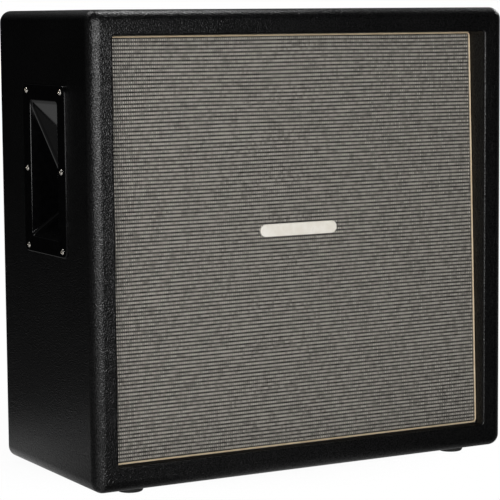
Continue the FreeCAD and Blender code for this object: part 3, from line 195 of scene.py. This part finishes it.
def mixed(finish, share, first, second):
    """The first number where the share is 0, the second where it is 1."""
    return add(finish, "ShaderNodeMix", [(0, share), (2, first), (3, second)]).outputs[0]


def axes(finish, vector):
    """The outputs X, Y and Z of a vector."""
    return add(finish, "ShaderNodeSeparateXYZ", [("Vector", vector)]).outputs


def wrinkles(finish, stretch):
    """Leather grain: small lumps, pushed about by a slower sway."""
    ground = place_on_piece(finish, stretch)
    sway = add(finish, "ShaderNodeTexNoise", [("Vector", ground), ("Scale", GRAIN_SWAY_SHARE / GRAIN_SIZE),
                                              ("Detail", 1.0)]).outputs["Color"]
    drift = along(finish, "SUBTRACT", sway, SWAY_MIDDLE).outputs[0]
    reach = (GRAIN_DRIFT_SHARE * GRAIN_SIZE,) * 3
    moved = along(finish, "MULTIPLY_ADD", drift, reach, ground).outputs[0]
    return noise(finish, moved, 1 / GRAIN_SIZE, detail=0.4)


def vinyl_finish():
    """Black vinyl, its grain running up the sides and across the rest, with a seam at each front mitre."""
    finish, surface = start_finish("black_vinyl")
    low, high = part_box("vinyl_covering")
    place = place_on_piece(finish)
    spot = axes(finish, place)
    from_side = calc(finish, "SUBTRACT", high.x, calc(finish, "ABSOLUTE", spot["X"]))
    off_middle = calc(finish, "SUBTRACT", spot["Z"], (low.z + high.z) / 2)
    from_end = calc(finish, "SUBTRACT", (high.z - low.z) / 2, calc(finish, "ABSOLUTE", off_middle))
    on_side = calc(finish, "LESS_THAN", from_side, from_end)
    grain = mixed(finish, on_side, wrinkles(finish, GRAIN_ACROSS), wrinkles(finish, GRAIN_UP_THE_SIDES))

    off_seam = calc(finish, "ABSOLUTE", calc(finish, "SUBTRACT", from_side, from_end))
    in_front = calc(finish, "LESS_THAN", spot["Y"], low.y + SEAM_REACH)
    seam = calc(finish, "MULTIPLY", remap(finish, off_seam, 0.0, SEAM_WIDTH, 1.0, 0.0), in_front)
    relief(finish, surface, calc(finish, "MULTIPLY_ADD", seam, -SEAM_DEPTH_SHARE, grain), GRAIN_DEPTH)

    smears = noise(finish, place, SMEARS_PER_METRE, detail=4.0)
    plug(finish, surface.inputs["Base Color"], two_tone(finish, smears, VINYL_BLACK, VINYL_WORN))

    facing = axes(finish, add(finish, "ShaderNodeTexCoord").outputs["Normal"])
    dust = remap(finish, facing["Z"], DUST_STARTS, DUST_FULL, interpolation="SMOOTHSTEP")
    roughness = mixed(finish, dust, between(finish, smears, *CLEAN_ROUGHNESS),
                      between(finish, smears, *DUSTY_ROUGHNESS))
    plug(finish, surface.inputs["Roughness"], roughness)
    shine = remap(finish, grain, PIT_LEVEL, CREST_LEVEL, PIT_SHINE, CREST_SHINE)
    shine = calc(finish, "MULTIPLY", shine, between(finish, dust, 1.0, DUSTY_SHINE_SHARE))
    surface.inputs["Specular IOR Level"].default_value = (PIT_SHINE + CREST_SHINE) / 2
    plug(finish, surface.inputs["Specular IOR Level"], shine)
    return finish


dress(vinyl_finish(), "vinyl_covering", "rear_panel_vinyl")


# Screws that hold the baffle and the rear panel: steel wood screws, zinc-plated on the baffle and
# blackened on the rear panel and the jack plate. The rear ones sit in pressed nickel cup washers.

BLACK_ZINC, BLACK_ZINC_DULL = (0.03, 0.03, 0.032), (0.018, 0.018, 0.018)
ZINC, ZINC_DULL = (0.62, 0.62, 0.60), (0.48, 0.48, 0.46)
NICKEL, NICKEL_DULL = (0.78, 0.75, 0.70), (0.66, 0.62, 0.56)
METAL_DULLEST_SHARE, METAL_SHINIEST_SHARE = 1.35, 0.8
METAL_CLOUD_WIDTH, METAL_MARK_FINENESS = 6, 4


def metal_finish(name, colour, dull, roughness, metallic=1.0, per_metre=900.0, depth=0.02 * MM):
    """Metal with faint clouding and fine handling marks."""
    finish, surface = start_finish(name)
    place = place_on_piece(finish)
    clouds = noise(finish, place, per_metre / METAL_CLOUD_WIDTH, detail=4.0)
    marks = noise(finish, place, METAL_MARK_FINENESS * per_metre, detail=2.0)
    plug(finish, surface.inputs["Base Color"], two_tone(finish, clouds, dull, colour))
    plug(finish, surface.inputs["Roughness"], between(finish, clouds, roughness * METAL_DULLEST_SHARE,
                                                      roughness * METAL_SHINIEST_SHARE))
    surface.inputs["Metallic"].default_value = metallic
    relief(finish, surface, marks, depth)
    return finish


dress(metal_finish("black_screw_steel", BLACK_ZINC, BLACK_ZINC_DULL, roughness=0.34, metallic=0.6),
      "rear_panel_screws", "jack_plate_screws")
zinc = metal_finish("zinc_plate", ZINC, ZINC_DULL, roughness=0.3)
dress(zinc, "baffle_screws")
nickel = metal_finish("nickel", NICKEL, NICKEL_DULL, roughness=0.2)
dress(nickel, "rear_screw_cups")


# Grille cloth: a heavy salt-and-pepper weave, pale and dark yarns in turn, held down by thin upright threads.
# It is stretched over the baffle, folded round its edges and stapled behind, before the baffle goes in.

ROW_PITCH, THREAD_PITCH = 5.55 * MM, 3.45 * MM
PALE_CREST, DARK_CREST = 0.42 * MM, 0.24 * MM
TURN_IN = 9.0 * MM
STEPS_PER_ROW, COLUMNS = 4, 200
WEAVE_SEED, WANDER_WAVES, WANDER_REACH = 7, 5, 0.16 * MM
WANDER_ACROSS, WANDER_START, WANDER_UP = (9, 30), (0, 6.28), (20, 60)

forward = Vector(frame["joints"][0]["axis"]).normalized()
across = Vector((1, 0, 0))
up_slope = forward.cross(across)
cloth_corners = [v.co for v in frame["nodes"]["grille_cloth"].data.vertices]
cloth_face = max(p.dot(forward) for p in cloth_corners)
cloth_rear = min(p.dot(forward) for p in cloth_corners)
cloth_rise = [p.dot(up_slope) for p in cloth_corners]
cloth_half_width = max(p.x for p in cloth_corners)
cloth_half_height = (max(cloth_rise) - min(cloth_rise)) / 2
cloth_middle = forward * cloth_face + up_slope * (max(cloth_rise) + min(cloth_rise)) / 2
grille_place = Matrix.Translation(cloth_middle) @ Matrix((across, up_slope, forward)).transposed().to_4x4()


def grille_cloth():
    """The cloth in its own plane, X across, Y up the slope and Z forward, with a rib for every yarn."""
    draw = random.Random(WEAVE_SEED)
    wander = [(draw.uniform(*WANDER_ACROSS), draw.uniform(*WANDER_START), draw.uniform(*WANDER_UP))
              for _ in range(WANDER_WAVES)]
    rows = round(2 * cloth_half_height / ROW_PITCH * STEPS_PER_ROW)
    crest = (0, PALE_CREST, 0, DARK_CREST)
    fold = cloth_face - cloth_rear
    shape = bmesh.new()
    weave = shape.loops.layers.uv.new("weave")
    threads = {}

    def knot(x, y, z, row, column):
        point = shape.verts.new((x, y, z))
        threads[point] = (column, row)
        return point

    def flap(rim, inward):
        """The folded edge behind one side of the cloth, and the strip turned in behind the baffle."""
        bands = [rim]
        for step in (0, TURN_IN):
            band = []
            for point in rim:
                column, row = threads[point]
                spot = point.co + inward * step
                band.append(knot(spot.x, spot.y, -fold, row, column))
            bands.append(band)
        return bands

    lines = []
    for j in range(rows + 1):
        y0 = -cloth_half_height + 2 * cloth_half_height * j / rows
        edge = j in (0, rows)
        line = []
        for i in range(COLUMNS + 1):
            x = -cloth_half_width + 2 * cloth_half_width * i / COLUMNS
            sway = sum(math.sin(x * f + p + y0 * g) for f, p, g in wander) * WANDER_REACH
            lift = 0 if edge or i in (0, COLUMNS) else crest[j % STEPS_PER_ROW]
            line.append(knot(x, y0 if edge else y0 + sway, lift, j / STEPS_PER_ROW, x / THREAD_PITCH))
        lines.append(line)

    left, right = [line[0] for line in lines], [line[-1] for line in lines]
    sheets = [lines, flap(lines[0], Vector((0, 1, 0))), flap(lines[-1], Vector((0, -1, 0))),
              flap(left, Vector((1, 0, 0))), flap(right, Vector((-1, 0, 0)))]
    for bands in sheets:
        for low, high in zip(bands, bands[1:]):
            for a, b, c, d in zip(low, low[1:], high[1:], high):
                face = shape.faces.new((a, b, c, d))
                face.smooth = True
                for loop in face.loops:
                    loop[weave].uv = threads[loop.vert]
    bmesh.ops.recalc_face_normals(shape, faces=shape.faces)
    mesh = bpy.data.meshes.new("grille_cloth_weave")
    shape.to_mesh(mesh)
    shape.free()
    cloth = bpy.data.objects.new("grille_cloth_weave", mesh)
    bpy.context.scene.collection.objects.link(cloth)
    cloth.matrix_world = grille_place
    return cloth


PALE_YARN, DARK_YARN = (0.455, 0.43, 0.38), (0.008, 0.007, 0.006)
YARNS_PER_ROW, HALF_BEAD = 2.0, 0.5
PALE_STARTS, PALE_FULL = -0.45, -0.12
# Where the pale yarn's painted shade in the pinch between beads fades out along each bead.
SWELL_STARTS, SWELL_FULL = 0.5, 0.9
THREAD_FULL, THREAD_ENDS = 0.2, 0.75
# Painted shade on the pale yarn: how much darker it is painted on the flanks of each row, and in the pinch
# between beads, which is partly the grey thread and partly painted shade.
CROWN_PAINTED_SHADE_SHARE, PINCH_THREAD_AND_SHADE_SHARE = 0.25, 0.9
LEAST_LUCK, LUCK_SPAN, THREAD_LUCK_SPAN, THREAD_SEED = 0.55, 0.9, 0.35, 7.0
LINT_PER_METRE, LINT_SWING, LINT_RELIEF_SHARE = 700.0, 0.08, 0.5
MOTTLE_PER_METRE, MOTTLE_SWING = 40.0, 0.05
YARN_ROUGHNESS, YARN_SHINE, BEAD_DEPTH = (0.5, 0.62), 0.2, 0.35 * MM


def weave_finish():
    """Yarns in rows, each a line of beads between the threads, with its own luck in how pale a bead is. The
    pale yarn is painted darker on the flanks of its row (painted shade) and where the threads pinch it
    (partly the grey thread, partly painted shade).
    """
    finish, surface = start_finish("grille_weave")
    weave = axes(finish, add(finish, "ShaderNodeUVMap", uv_map="weave").outputs["UV"])
    column, row = weave["X"], weave["Y"]

    def chance(*seeds):
        spot = add(finish, "ShaderNodeCombineXYZ", list(enumerate(seeds))).outputs[0]
        return add(finish, "ShaderNodeTexWhiteNoise", [("Vector", spot)]).outputs["Value"]

    def swung(level, cloud, swing):
        return calc(finish, "ADD", level, calc(finish, "MULTIPLY_ADD", cloud, 2 * swing, -swing))

    wave = calc(finish, "SINE", calc(finish, "MULTIPLY", row, 2 * math.pi))
    pale = remap(finish, wave, PALE_STARTS, PALE_FULL, interpolation="SMOOTHSTEP")
    # Masks for the pale yarn's painted shade: its crown within the row, and its swell between the pinching
    # threads.
    crown_shade_mask = calc(finish, "ABSOLUTE", wave)
    bead = calc(finish, "ABSOLUTE", calc(finish, "SINE", calc(finish, "MULTIPLY", column, math.pi)))
    pinch_thread_and_shade_mask = remap(finish, bead, SWELL_STARTS, SWELL_FULL, interpolation="SMOOTHSTEP")
    thread = remap(finish, bead, THREAD_FULL, THREAD_ENDS, 1.0, 0.0)
    yarn = calc(finish, "FLOOR", calc(finish, "MULTIPLY", row, YARNS_PER_ROW))
    bead_luck = chance(calc(finish, "FLOOR", column), yarn)
    thread_luck = chance(calc(finish, "FLOOR", calc(finish, "ADD", column, HALF_BEAD)), yarn, THREAD_SEED)
    place = place_on_piece(finish)
    lint = noise(finish, place, LINT_PER_METRE)
    mottle = noise(finish, place, MOTTLE_PER_METRE)

    # The pale yarn, painted darker on the flanks of each row and in the pinch between beads: painted shade,
    # with the grey thread also in the pinch.
    pale_with_painted_shade = calc(finish, "MULTIPLY", between(finish, crown_shade_mask, 1 - CROWN_PAINTED_SHADE_SHARE, 1.0),
                      between(finish, pinch_thread_and_shade_mask, 1 - PINCH_THREAD_AND_SHADE_SHARE, 1.0))
    bead_level = calc(finish, "MULTIPLY_ADD", bead_luck, LUCK_SPAN, LEAST_LUCK)
    pale_with_painted_shade = calc(finish, "MULTIPLY", pale_with_painted_shade, bead_level)
    dark_level = calc(finish, "MULTIPLY", thread, calc(finish, "MULTIPLY", thread_luck, THREAD_LUCK_SPAN))
    level = mixed(finish, pale, dark_level, pale_with_painted_shade)
    level = swung(swung(level, lint, LINT_SWING), mottle, MOTTLE_SWING)
    colour = two_tone(finish, level, DARK_YARN, PALE_YARN, low=0.0, high=1.0)
    plug(finish, surface.inputs["Base Color"], colour)
    plug(finish, surface.inputs["Roughness"], between(finish, lint, *YARN_ROUGHNESS))
    surface.inputs["Specular IOR Level"].default_value = YARN_SHINE
    relief(finish, surface, calc(finish, "MULTIPLY_ADD", lint, LINT_RELIEF_SHARE, bead), BEAD_DEPTH)
    return finish


cloth = grille_cloth()
cloth.data.materials.append(weave_finish())
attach(cloth, "cabinet")
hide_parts("grille_cloth")


# Piping: a round cream plastic cord, laid on the cloth round the edge of the recess and
# tacked to the baffle. It hides the line where cloth and covering meet.

PIPING_CREAM, PIPING_SHADE = (0.60, 0.49, 0.33), (0.50, 0.39, 0.25)
PLASTIC_DULLEST_SHARE, PLASTIC_SHINIEST_SHARE, PLASTIC_CLOUD_WIDTH = 1.25, 0.85, 12


def plastic_finish(name, colour, second, roughness, per_metre, depth, shine=0.5):
    """Moulded plastic: faint flow clouding and a fine moulded texture."""
    finish, surface = start_finish(name)
    place = place_on_piece(finish)
    clouds = noise(finish, place, per_metre / PLASTIC_CLOUD_WIDTH)
    texture = noise(finish, place, per_metre)
    plug(finish, surface.inputs["Base Color"], two_tone(finish, clouds, second, colour))
    plug(finish, surface.inputs["Roughness"], between(finish, clouds, roughness * PLASTIC_DULLEST_SHARE,
                                                      roughness * PLASTIC_SHINIEST_SHARE))
    surface.inputs["Specular IOR Level"].default_value = shine
    relief(finish, surface, texture, depth)
    return finish


dress(plastic_finish("cream_piping", PIPING_CREAM, PIPING_SHADE, roughness=0.35, per_metre=700.0,
                     depth=0.05 * MM), "grille_piping")


# Badge: a blank moulded plate in cream plastic, held by two pins pushed through the cloth.
# Its face is plain.

BADGE_CREAM, BADGE_SHADE = (0.80, 0.77, 0.70), (0.74, 0.70, 0.62)

dress(plastic_finish("cream_plastic", BADGE_CREAM, BADGE_SHADE, roughness=0.28, per_metre=900.0,
                     depth=0.02 * MM), "badge_plate")


# Drivers: four twelve-inch units bolted behind the baffle. Pressed steel baskets, doped paper cones,
# a ferrite ring between two steel plates, and a copper coil on a former. They stay hidden by the cloth.

CORNERS = ("upper_left", "upper_right", "lower_left", "lower_right")
PAPER_BLACK, PAPER_GREY = (0.035, 0.033, 0.031), (0.065, 0.06, 0.056)
CAP_BLACK, CAP_GREY = (0.025, 0.025, 0.025), (0.05, 0.05, 0.05)
GASKET_BROWN, GASKET_PALE = (0.08, 0.07, 0.06), (0.13, 0.115, 0.10)
FERRITE_BLACK, FERRITE_GREY = (0.035, 0.035, 0.04), (0.06, 0.06, 0.065)
BASKET_GREY, BASKET_DULL = (0.10, 0.10, 0.105), (0.07, 0.07, 0.072)
COPPER, COPPER_DULL = (0.62, 0.32, 0.17), (0.50, 0.24, 0.12)
BOARD_BROWN, BOARD_DARK = (0.33, 0.17, 0.07), (0.25, 0.12, 0.05)
SLEEVE_BLACK, SLEEVE_DARK = (0.030, 0.030, 0.030), (0.020, 0.020, 0.020)
FIBRE_ROUGHNESS_SPAN = 0.1


def fibre_finish(name, colour, second, per_metre, roughness, depth):
    """Felted paper or cloth: short fibres in two tones."""
    finish, surface = start_finish(name)
    fibres = noise(finish, place_on_piece(finish), per_metre, detail=6.0, distortion=1.5)
    plug(finish, surface.inputs["Base Color"], two_tone(finish, fibres, colour, second))
    plug(finish, surface.inputs["Roughness"], between(finish, fibres, roughness,
                                                      roughness + FIBRE_ROUGHNESS_SPAN))
    relief(finish, surface, fibres, depth)
    return finish


def of_each(piece):
    """The names of a piece in the four drivers."""
    return [corner + "_" + piece for corner in CORNERS]


paper = fibre_finish("cone_paper", PAPER_BLACK, PAPER_GREY, per_metre=500.0, roughness=0.75, depth=0.15 * MM)
dress(paper, *of_each("cone"))
dress(fibre_finish("cap_paper", CAP_BLACK, CAP_GREY, per_metre=600.0, roughness=0.6, depth=0.1 * MM),
      *of_each("dust_cap"))
dress(fibre_finish("gasket_fibre", GASKET_BROWN, GASKET_PALE, per_metre=300.0, roughness=0.85,
                   depth=0.2 * MM), "driver_gaskets")
dress(fibre_finish("ferrite", FERRITE_BLACK, FERRITE_GREY, per_metre=250.0, roughness=0.6, depth=0.1 * MM),
      "driver_magnets")
dress(metal_finish("basket_steel", BASKET_GREY, BASKET_DULL, roughness=0.42, metallic=0.0),
      *of_each("basket"))
dress(metal_finish("coil_copper", COPPER, COPPER_DULL, roughness=0.3), *of_each("voice_coil"))
dress(zinc, "driver_top_plates", "driver_yokes", "driver_bolts", "driver_nuts")
dress(plastic_finish("terminal_board", BOARD_BROWN, BOARD_DARK, roughness=0.5, per_metre=800.0,
                     depth=0.05 * MM), "driver_terminals")
dress(plastic_finish("wire_sleeve", SLEEVE_BLACK, SLEEVE_DARK, roughness=0.45, per_metre=600.0,
                     depth=0.05 * MM), "speaker_wiring")


# Cone edges and spiders: corrugated rings, doped paper round each cone and varnished cloth round each coil.
# Each is glued to its cone or coil at the bore, held by the basket at the rim, and flexes between the two.

SPIDER_BROWN, SPIDER_PALE = (0.46, 0.28, 0.10), (0.58, 0.40, 0.18)


def flexing_ring(corner, piece, finish):
    """A copy of a soft ring in its own finish, standing in for its node, which is hidden."""
    node = corner + "_" + piece
    low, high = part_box(node)
    middle = (low + high) / 2
    ring = bpy.data.objects.new(node + "_flexing", frame["nodes"][node].data.copy())
    bpy.context.scene.collection.objects.link(ring)
    ring.data.materials.clear()
    ring.data.materials.append(finish)
    at_rest = [point.co.copy() for point in ring.data.vertices]
    for point in ring.data.vertices:  # laid out by radius for a moment; put back as at rest below
        point.co = ((point.co - middle).cross(forward).length, 0, 0)
    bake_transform(ring)
    for point, place in zip(ring.data.vertices, at_rest):
        point.co = place
    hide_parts(node)


spider_cloth = fibre_finish("spider_cloth", SPIDER_BROWN, SPIDER_PALE, per_metre=1400.0, roughness=0.8,
                            depth=0.2 * MM)
for corner in CORNERS:
    flexing_ring(corner, "cone_edge", paper)
    flexing_ring(corner, "spider", spider_cloth)


# Handles: glossy black moulded dishes let into the sides, a plate with six screws round a scoop
# that is cut away under the grip. Moulded in one piece, fixed with nickel pan-head screws.

PLASTIC_BLACK, PLASTIC_GREY = (0.0014, 0.0014, 0.0015), (0.0024, 0.0024, 0.0026)
SCOOP_SHINE, PLATE_SHINE, SHINE_FADE = 0.5, 0.14, 0.5 * MM


def handle_finish():
    """Glossy plastic whose plate, outside the cabinet's side, shines less than the scoop inside it."""
    finish = plastic_finish("black_plastic", PLASTIC_BLACK, PLASTIC_GREY, roughness=0.085, per_metre=1500.0,
                            depth=0.006 * MM, shine=SCOOP_SHINE)
    surface = finish.node_tree.nodes["Principled BSDF"]
    side_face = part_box("vinyl_covering")[1].x
    from_middle = calc(finish, "ABSOLUTE", axes(finish, place_on_piece(finish))["X"])
    inside, outside = side_face - SHINE_FADE, side_face + SHINE_FADE
    shine = remap(finish, from_middle, inside, outside, SCOOP_SHINE, PLATE_SHINE)
    plug(finish, surface.inputs["Specular IOR Level"], shine)
    return finish


dress(handle_finish(), "left_handle", "right_handle")
dress(nickel, "handle_screws")


# Jack plate: pressed steel, painted satin black, with a moulded quarter-inch socket behind it.
# The socket's threaded bush comes through the plate and takes a nickel nut.

PAINT_BLACK, PAINT_DULL = (0.014, 0.014, 0.015), (0.010, 0.010, 0.010)
SOCKET_BLACK, SOCKET_DARK = (0.018, 0.018, 0.018), (0.012, 0.012, 0.012)

dress(metal_finish("black_steel", PAINT_BLACK, PAINT_DULL, roughness=0.38, metallic=0.0, per_metre=1400.0,
                   depth=0.05 * MM), "jack_plate")
dress(nickel, "jack_nut")
dress(plastic_finish("socket_plastic", SOCKET_BLACK, SOCKET_DARK, roughness=0.4, per_metre=900.0,
                     depth=0.04 * MM), "jack_socket")


# Feet: moulded black rubber, one near each corner of the bottom board.
# Each is held by a zinc-plated screw and a washer, sunk in its underside.

RUBBER_BLACK, RUBBER_GREY = (0.010, 0.010, 0.010), (0.020, 0.020, 0.019)

dress(plastic_finish("black_rubber", RUBBER_BLACK, RUBBER_GREY, roughness=0.7, per_metre=700.0,
                     depth=0.08 * MM, shine=0.3), "rubber_feet")
dress(zinc, "foot_screws", "foot_washers")


# Floor: a round white studio floor under the cabinet, fading out at its rim.
# It looks white to the camera and in reflections, and still takes the cabinet's shadow.

FLOOR_RADIUS, FLOOR_FADE, FLOOR_MIDDLE, FLOOR_SIDES = 0.56, 0.36, (0, 0.26, 0), 96
FLOOR_WHITE, FLOOR_ROUGHNESS = (0.86, 0.86, 0.86, 1.0), 0.9
FLOOR_GLOW_SHARE = 0.92


def floor_finish():
    """Matte white that glows for the camera and in reflections, and fades to clear at the rim."""
    finish, surface = start_finish("studio_floor")
    surface.inputs["Base Color"].default_value = FLOOR_WHITE
    surface.inputs["Roughness"].default_value = FLOOR_ROUGHNESS
    surface.inputs["Specular IOR Level"].default_value = 0.0
    path = add(finish, "ShaderNodeLightPath").outputs
    seen = calc(finish, "MAXIMUM", path["Is Camera Ray"], path["Is Glossy Ray"])
    seen = calc(finish, "MAXIMUM", seen, path["Is Transmission Ray"])
    share = calc(finish, "MULTIPLY", seen, FLOOR_GLOW_SHARE)
    glow = add(finish, "ShaderNodeEmission", [("Strength", 1.0)])
    lit = add(finish, "ShaderNodeMixShader", [(0, share), (1, surface.outputs[0]), (2, glow.outputs[0])])
    place = add(finish, "ShaderNodeTexCoord").outputs["Object"]
    reach = along(finish, "LENGTH", place).outputs["Value"]
    rim = remap(finish, reach, FLOOR_RADIUS - FLOOR_FADE, FLOOR_RADIUS, interpolation="SMOOTHSTEP")
    clear = add(finish, "ShaderNodeBsdfTransparent")
    faded = add(finish, "ShaderNodeMixShader", [(0, rim), (1, lit.outputs[0]), (2, clear.outputs[0])])
    plug(finish, finish.node_tree.nodes["Material Output"].inputs["Surface"], faded.outputs[0])
    return finish


bpy.ops.mesh.primitive_circle_add(vertices=FLOOR_SIDES, radius=FLOOR_RADIUS, fill_type="NGON",
                                  location=FLOOR_MIDDLE)
floor = bpy.context.object
floor.name = "studio_floor"
floor.data.materials.append(floor_finish())


# Studio light: soft boxes in front and at the front left, one overhead, and two high ones, right and behind.
# The room is grey, and dark at its rear left. Its floor is lit in front, and a low white wall stands behind
# the cabinet. The camera sees white all round; mirrored rays see it where the wall stands.

def soft_box(name, place, aim, width, height, power):
    """A rectangular lamp that faces a point."""
    lamp = bpy.data.lights.new(name, "AREA")
    lamp.shape = "RECTANGLE"
    lamp.size, lamp.size_y, lamp.energy = width, height, power
    box = bpy.data.objects.new(name, lamp)
    bpy.context.scene.collection.objects.link(box)
    box.location = place
    box.rotation_euler = (Vector(aim) - Vector(place)).to_track_quat("-Z", "Y").to_euler()


soft_box("key_soft_box", place=(-0.38, -3.2, 0.75), aim=(-0.1, 0, 0.4), width=1.0, height=1.2, power=54)
soft_box("left_soft_box", place=(-1.5, -1.75, 0.85), aim=(-0.1, 0, 0.4), width=0.55, height=1.1, power=17)
soft_box("overhead_soft_box", place=(0.45, 0.05, 2.5), aim=(0, 0, 0.5), width=0.8, height=0.5, power=21)
soft_box("right_soft_box", place=(2.6, 0.9, 1.9), aim=(0, 0, 0.35), width=1.4, height=0.9, power=26)
soft_box("rear_soft_box", place=(-0.9, 1.6, 3.4), aim=(0, 0, 0.4), width=1.2, height=1.2, power=34)

# Brightness of each part of the room; then the turn of its middle on the plan, from +Y towards +X, with the
# angles at which it ends and is full; then the rise of a ray, from -1 to 1, at which it starts and is full.
ROOM_IN_FRONT, ROOM_BEHIND, CORNER_BLACK, WALL_WHITE = 0.04, 0.2, 0.004, 1.0
FLOOR_IN_FRONT, FLOOR_BEHIND = 0.9, 0.3
REAR_TURN_DEG, REAR_SPREAD_DEG = 0.0, (120, 60)
CORNER_TURN_DEG, CORNER_SPREAD_DEG, FLOOR_BEHIND_SPREAD_DEG = -23.0, (52, 28), (80, 40)
LIT_FLOOR_TURN_DEG, LIT_FLOOR_SPREAD_DEG = 214.0, (52, 32)
WALL_TURN_DEG, WALL_SPREAD_DEG = 29.0, (13, 8.5)
CORNER_RISE, FLOOR_BEHIND_RISE, LIT_FLOOR_RISE = (0.75, 0.25), (-0.15, -0.35), (-0.02, -0.2)
WALL_TOP_RISE, WALL_FOOT_RISE = (0.035, 0.012), (-0.36, -0.28)


def room_light():
    """The room round the cabinet, painted by direction."""
    room = bpy.data.worlds.new("studio_room")
    room.use_nodes = True
    ground = room.node_tree.nodes["Background"]
    way = add(room, "ShaderNodeTexCoord").outputs["Generated"]
    rise = axes(room, way)["Z"]
    flat = along(room, "MULTIPLY", way, (1, 1, 0)).outputs[0]
    level_way = along(room, "NORMALIZE", flat).outputs[0]

    def fade(value, none, full):
        """0 where the value is at none, 1 where it is at full."""
        return remap(room, value, none, full, interpolation="SMOOTHSTEP")

    def near(turn_deg, rim_deg, core_deg):
        """1 within the core angle of a direction on the plan, 0 beyond the rim angle."""
        turn = math.radians(turn_deg)
        facing = along(room, "DOT_PRODUCT", level_way, (math.sin(turn), math.cos(turn), 0.0)).outputs["Value"]
        return fade(facing, math.cos(math.radians(rim_deg)), math.cos(math.radians(core_deg)))

    def both(first, second):
        return calc(room, "MULTIPLY", first, second)

    dark_corner = both(fade(rise, *CORNER_RISE), near(CORNER_TURN_DEG, *CORNER_SPREAD_DEG))
    floor_behind = both(fade(rise, *FLOOR_BEHIND_RISE), near(CORNER_TURN_DEG, *FLOOR_BEHIND_SPREAD_DEG))
    lit_floor = both(fade(rise, *LIT_FLOOR_RISE), near(LIT_FLOOR_TURN_DEG, *LIT_FLOOR_SPREAD_DEG))
    wall = both(fade(rise, *WALL_TOP_RISE), fade(rise, *WALL_FOOT_RISE))
    wall = both(wall, near(WALL_TURN_DEG, *WALL_SPREAD_DEG))
    path = add(room, "ShaderNodeLightPath").outputs
    mirrored = calc(room, "MAXIMUM", path["Is Glossy Ray"], path["Is Transmission Ray"])
    white = calc(room, "MAXIMUM", path["Is Camera Ray"], both(mirrored, wall))

    level = mixed(room, near(REAR_TURN_DEG, *REAR_SPREAD_DEG), ROOM_IN_FRONT, ROOM_BEHIND)
    for share, brightness in ((dark_corner, CORNER_BLACK), (floor_behind, FLOOR_BEHIND),
                              (lit_floor, FLOOR_IN_FRONT), (white, WALL_WHITE)):
        level = mixed(room, share, level, brightness)
    plug(room, ground.inputs["Color"], level)
    ground.inputs["Strength"].default_value = 1.0
    bpy.context.scene.world = room


room_light()


# Camera: a long lens at the photograph's viewing angle, about as high as the top of the cabinet.
# Its place, aim and lens were fitted to the photograph's outline.

CAMERA_PLACE = Vector((-1.5980, -2.8647, 0.6872))
CAMERA_YAW, CAMERA_PITCH, CAMERA_ROLL = (math.radians(a) for a in (28.9985, 6.2985, 0.4636))
LENS_PIXELS, FRAME_PIXELS, SENSOR_MM = 2115.95, 500, 36.0

level_ahead = Vector((math.sin(CAMERA_YAW), math.cos(CAMERA_YAW), 0))
ahead = level_ahead * math.cos(CAMERA_PITCH) - Vector((0, 0, math.sin(CAMERA_PITCH)))
level_right = Vector((math.cos(CAMERA_YAW), -math.sin(CAMERA_YAW), 0))
level_down = ahead.cross(level_right)
image_right = level_right * math.cos(CAMERA_ROLL) + level_down * math.sin(CAMERA_ROLL)
image_down = level_down * math.cos(CAMERA_ROLL) - level_right * math.sin(CAMERA_ROLL)
lens = bpy.data.cameras.new("camera")
lens.sensor_width = SENSOR_MM
lens.lens = LENS_PIXELS / FRAME_PIXELS * SENSOR_MM
camera = bpy.data.objects.new("camera", lens)
bpy.context.scene.collection.objects.link(camera)
camera_turn = Matrix((image_right, -image_down, -ahead)).transposed().to_4x4()
camera.matrix_world = Matrix.Translation(CAMERA_PLACE) @ camera_turn
bpy.context.scene.camera = camera
bpy.context.scene.view_settings.view_transform = "Standard"
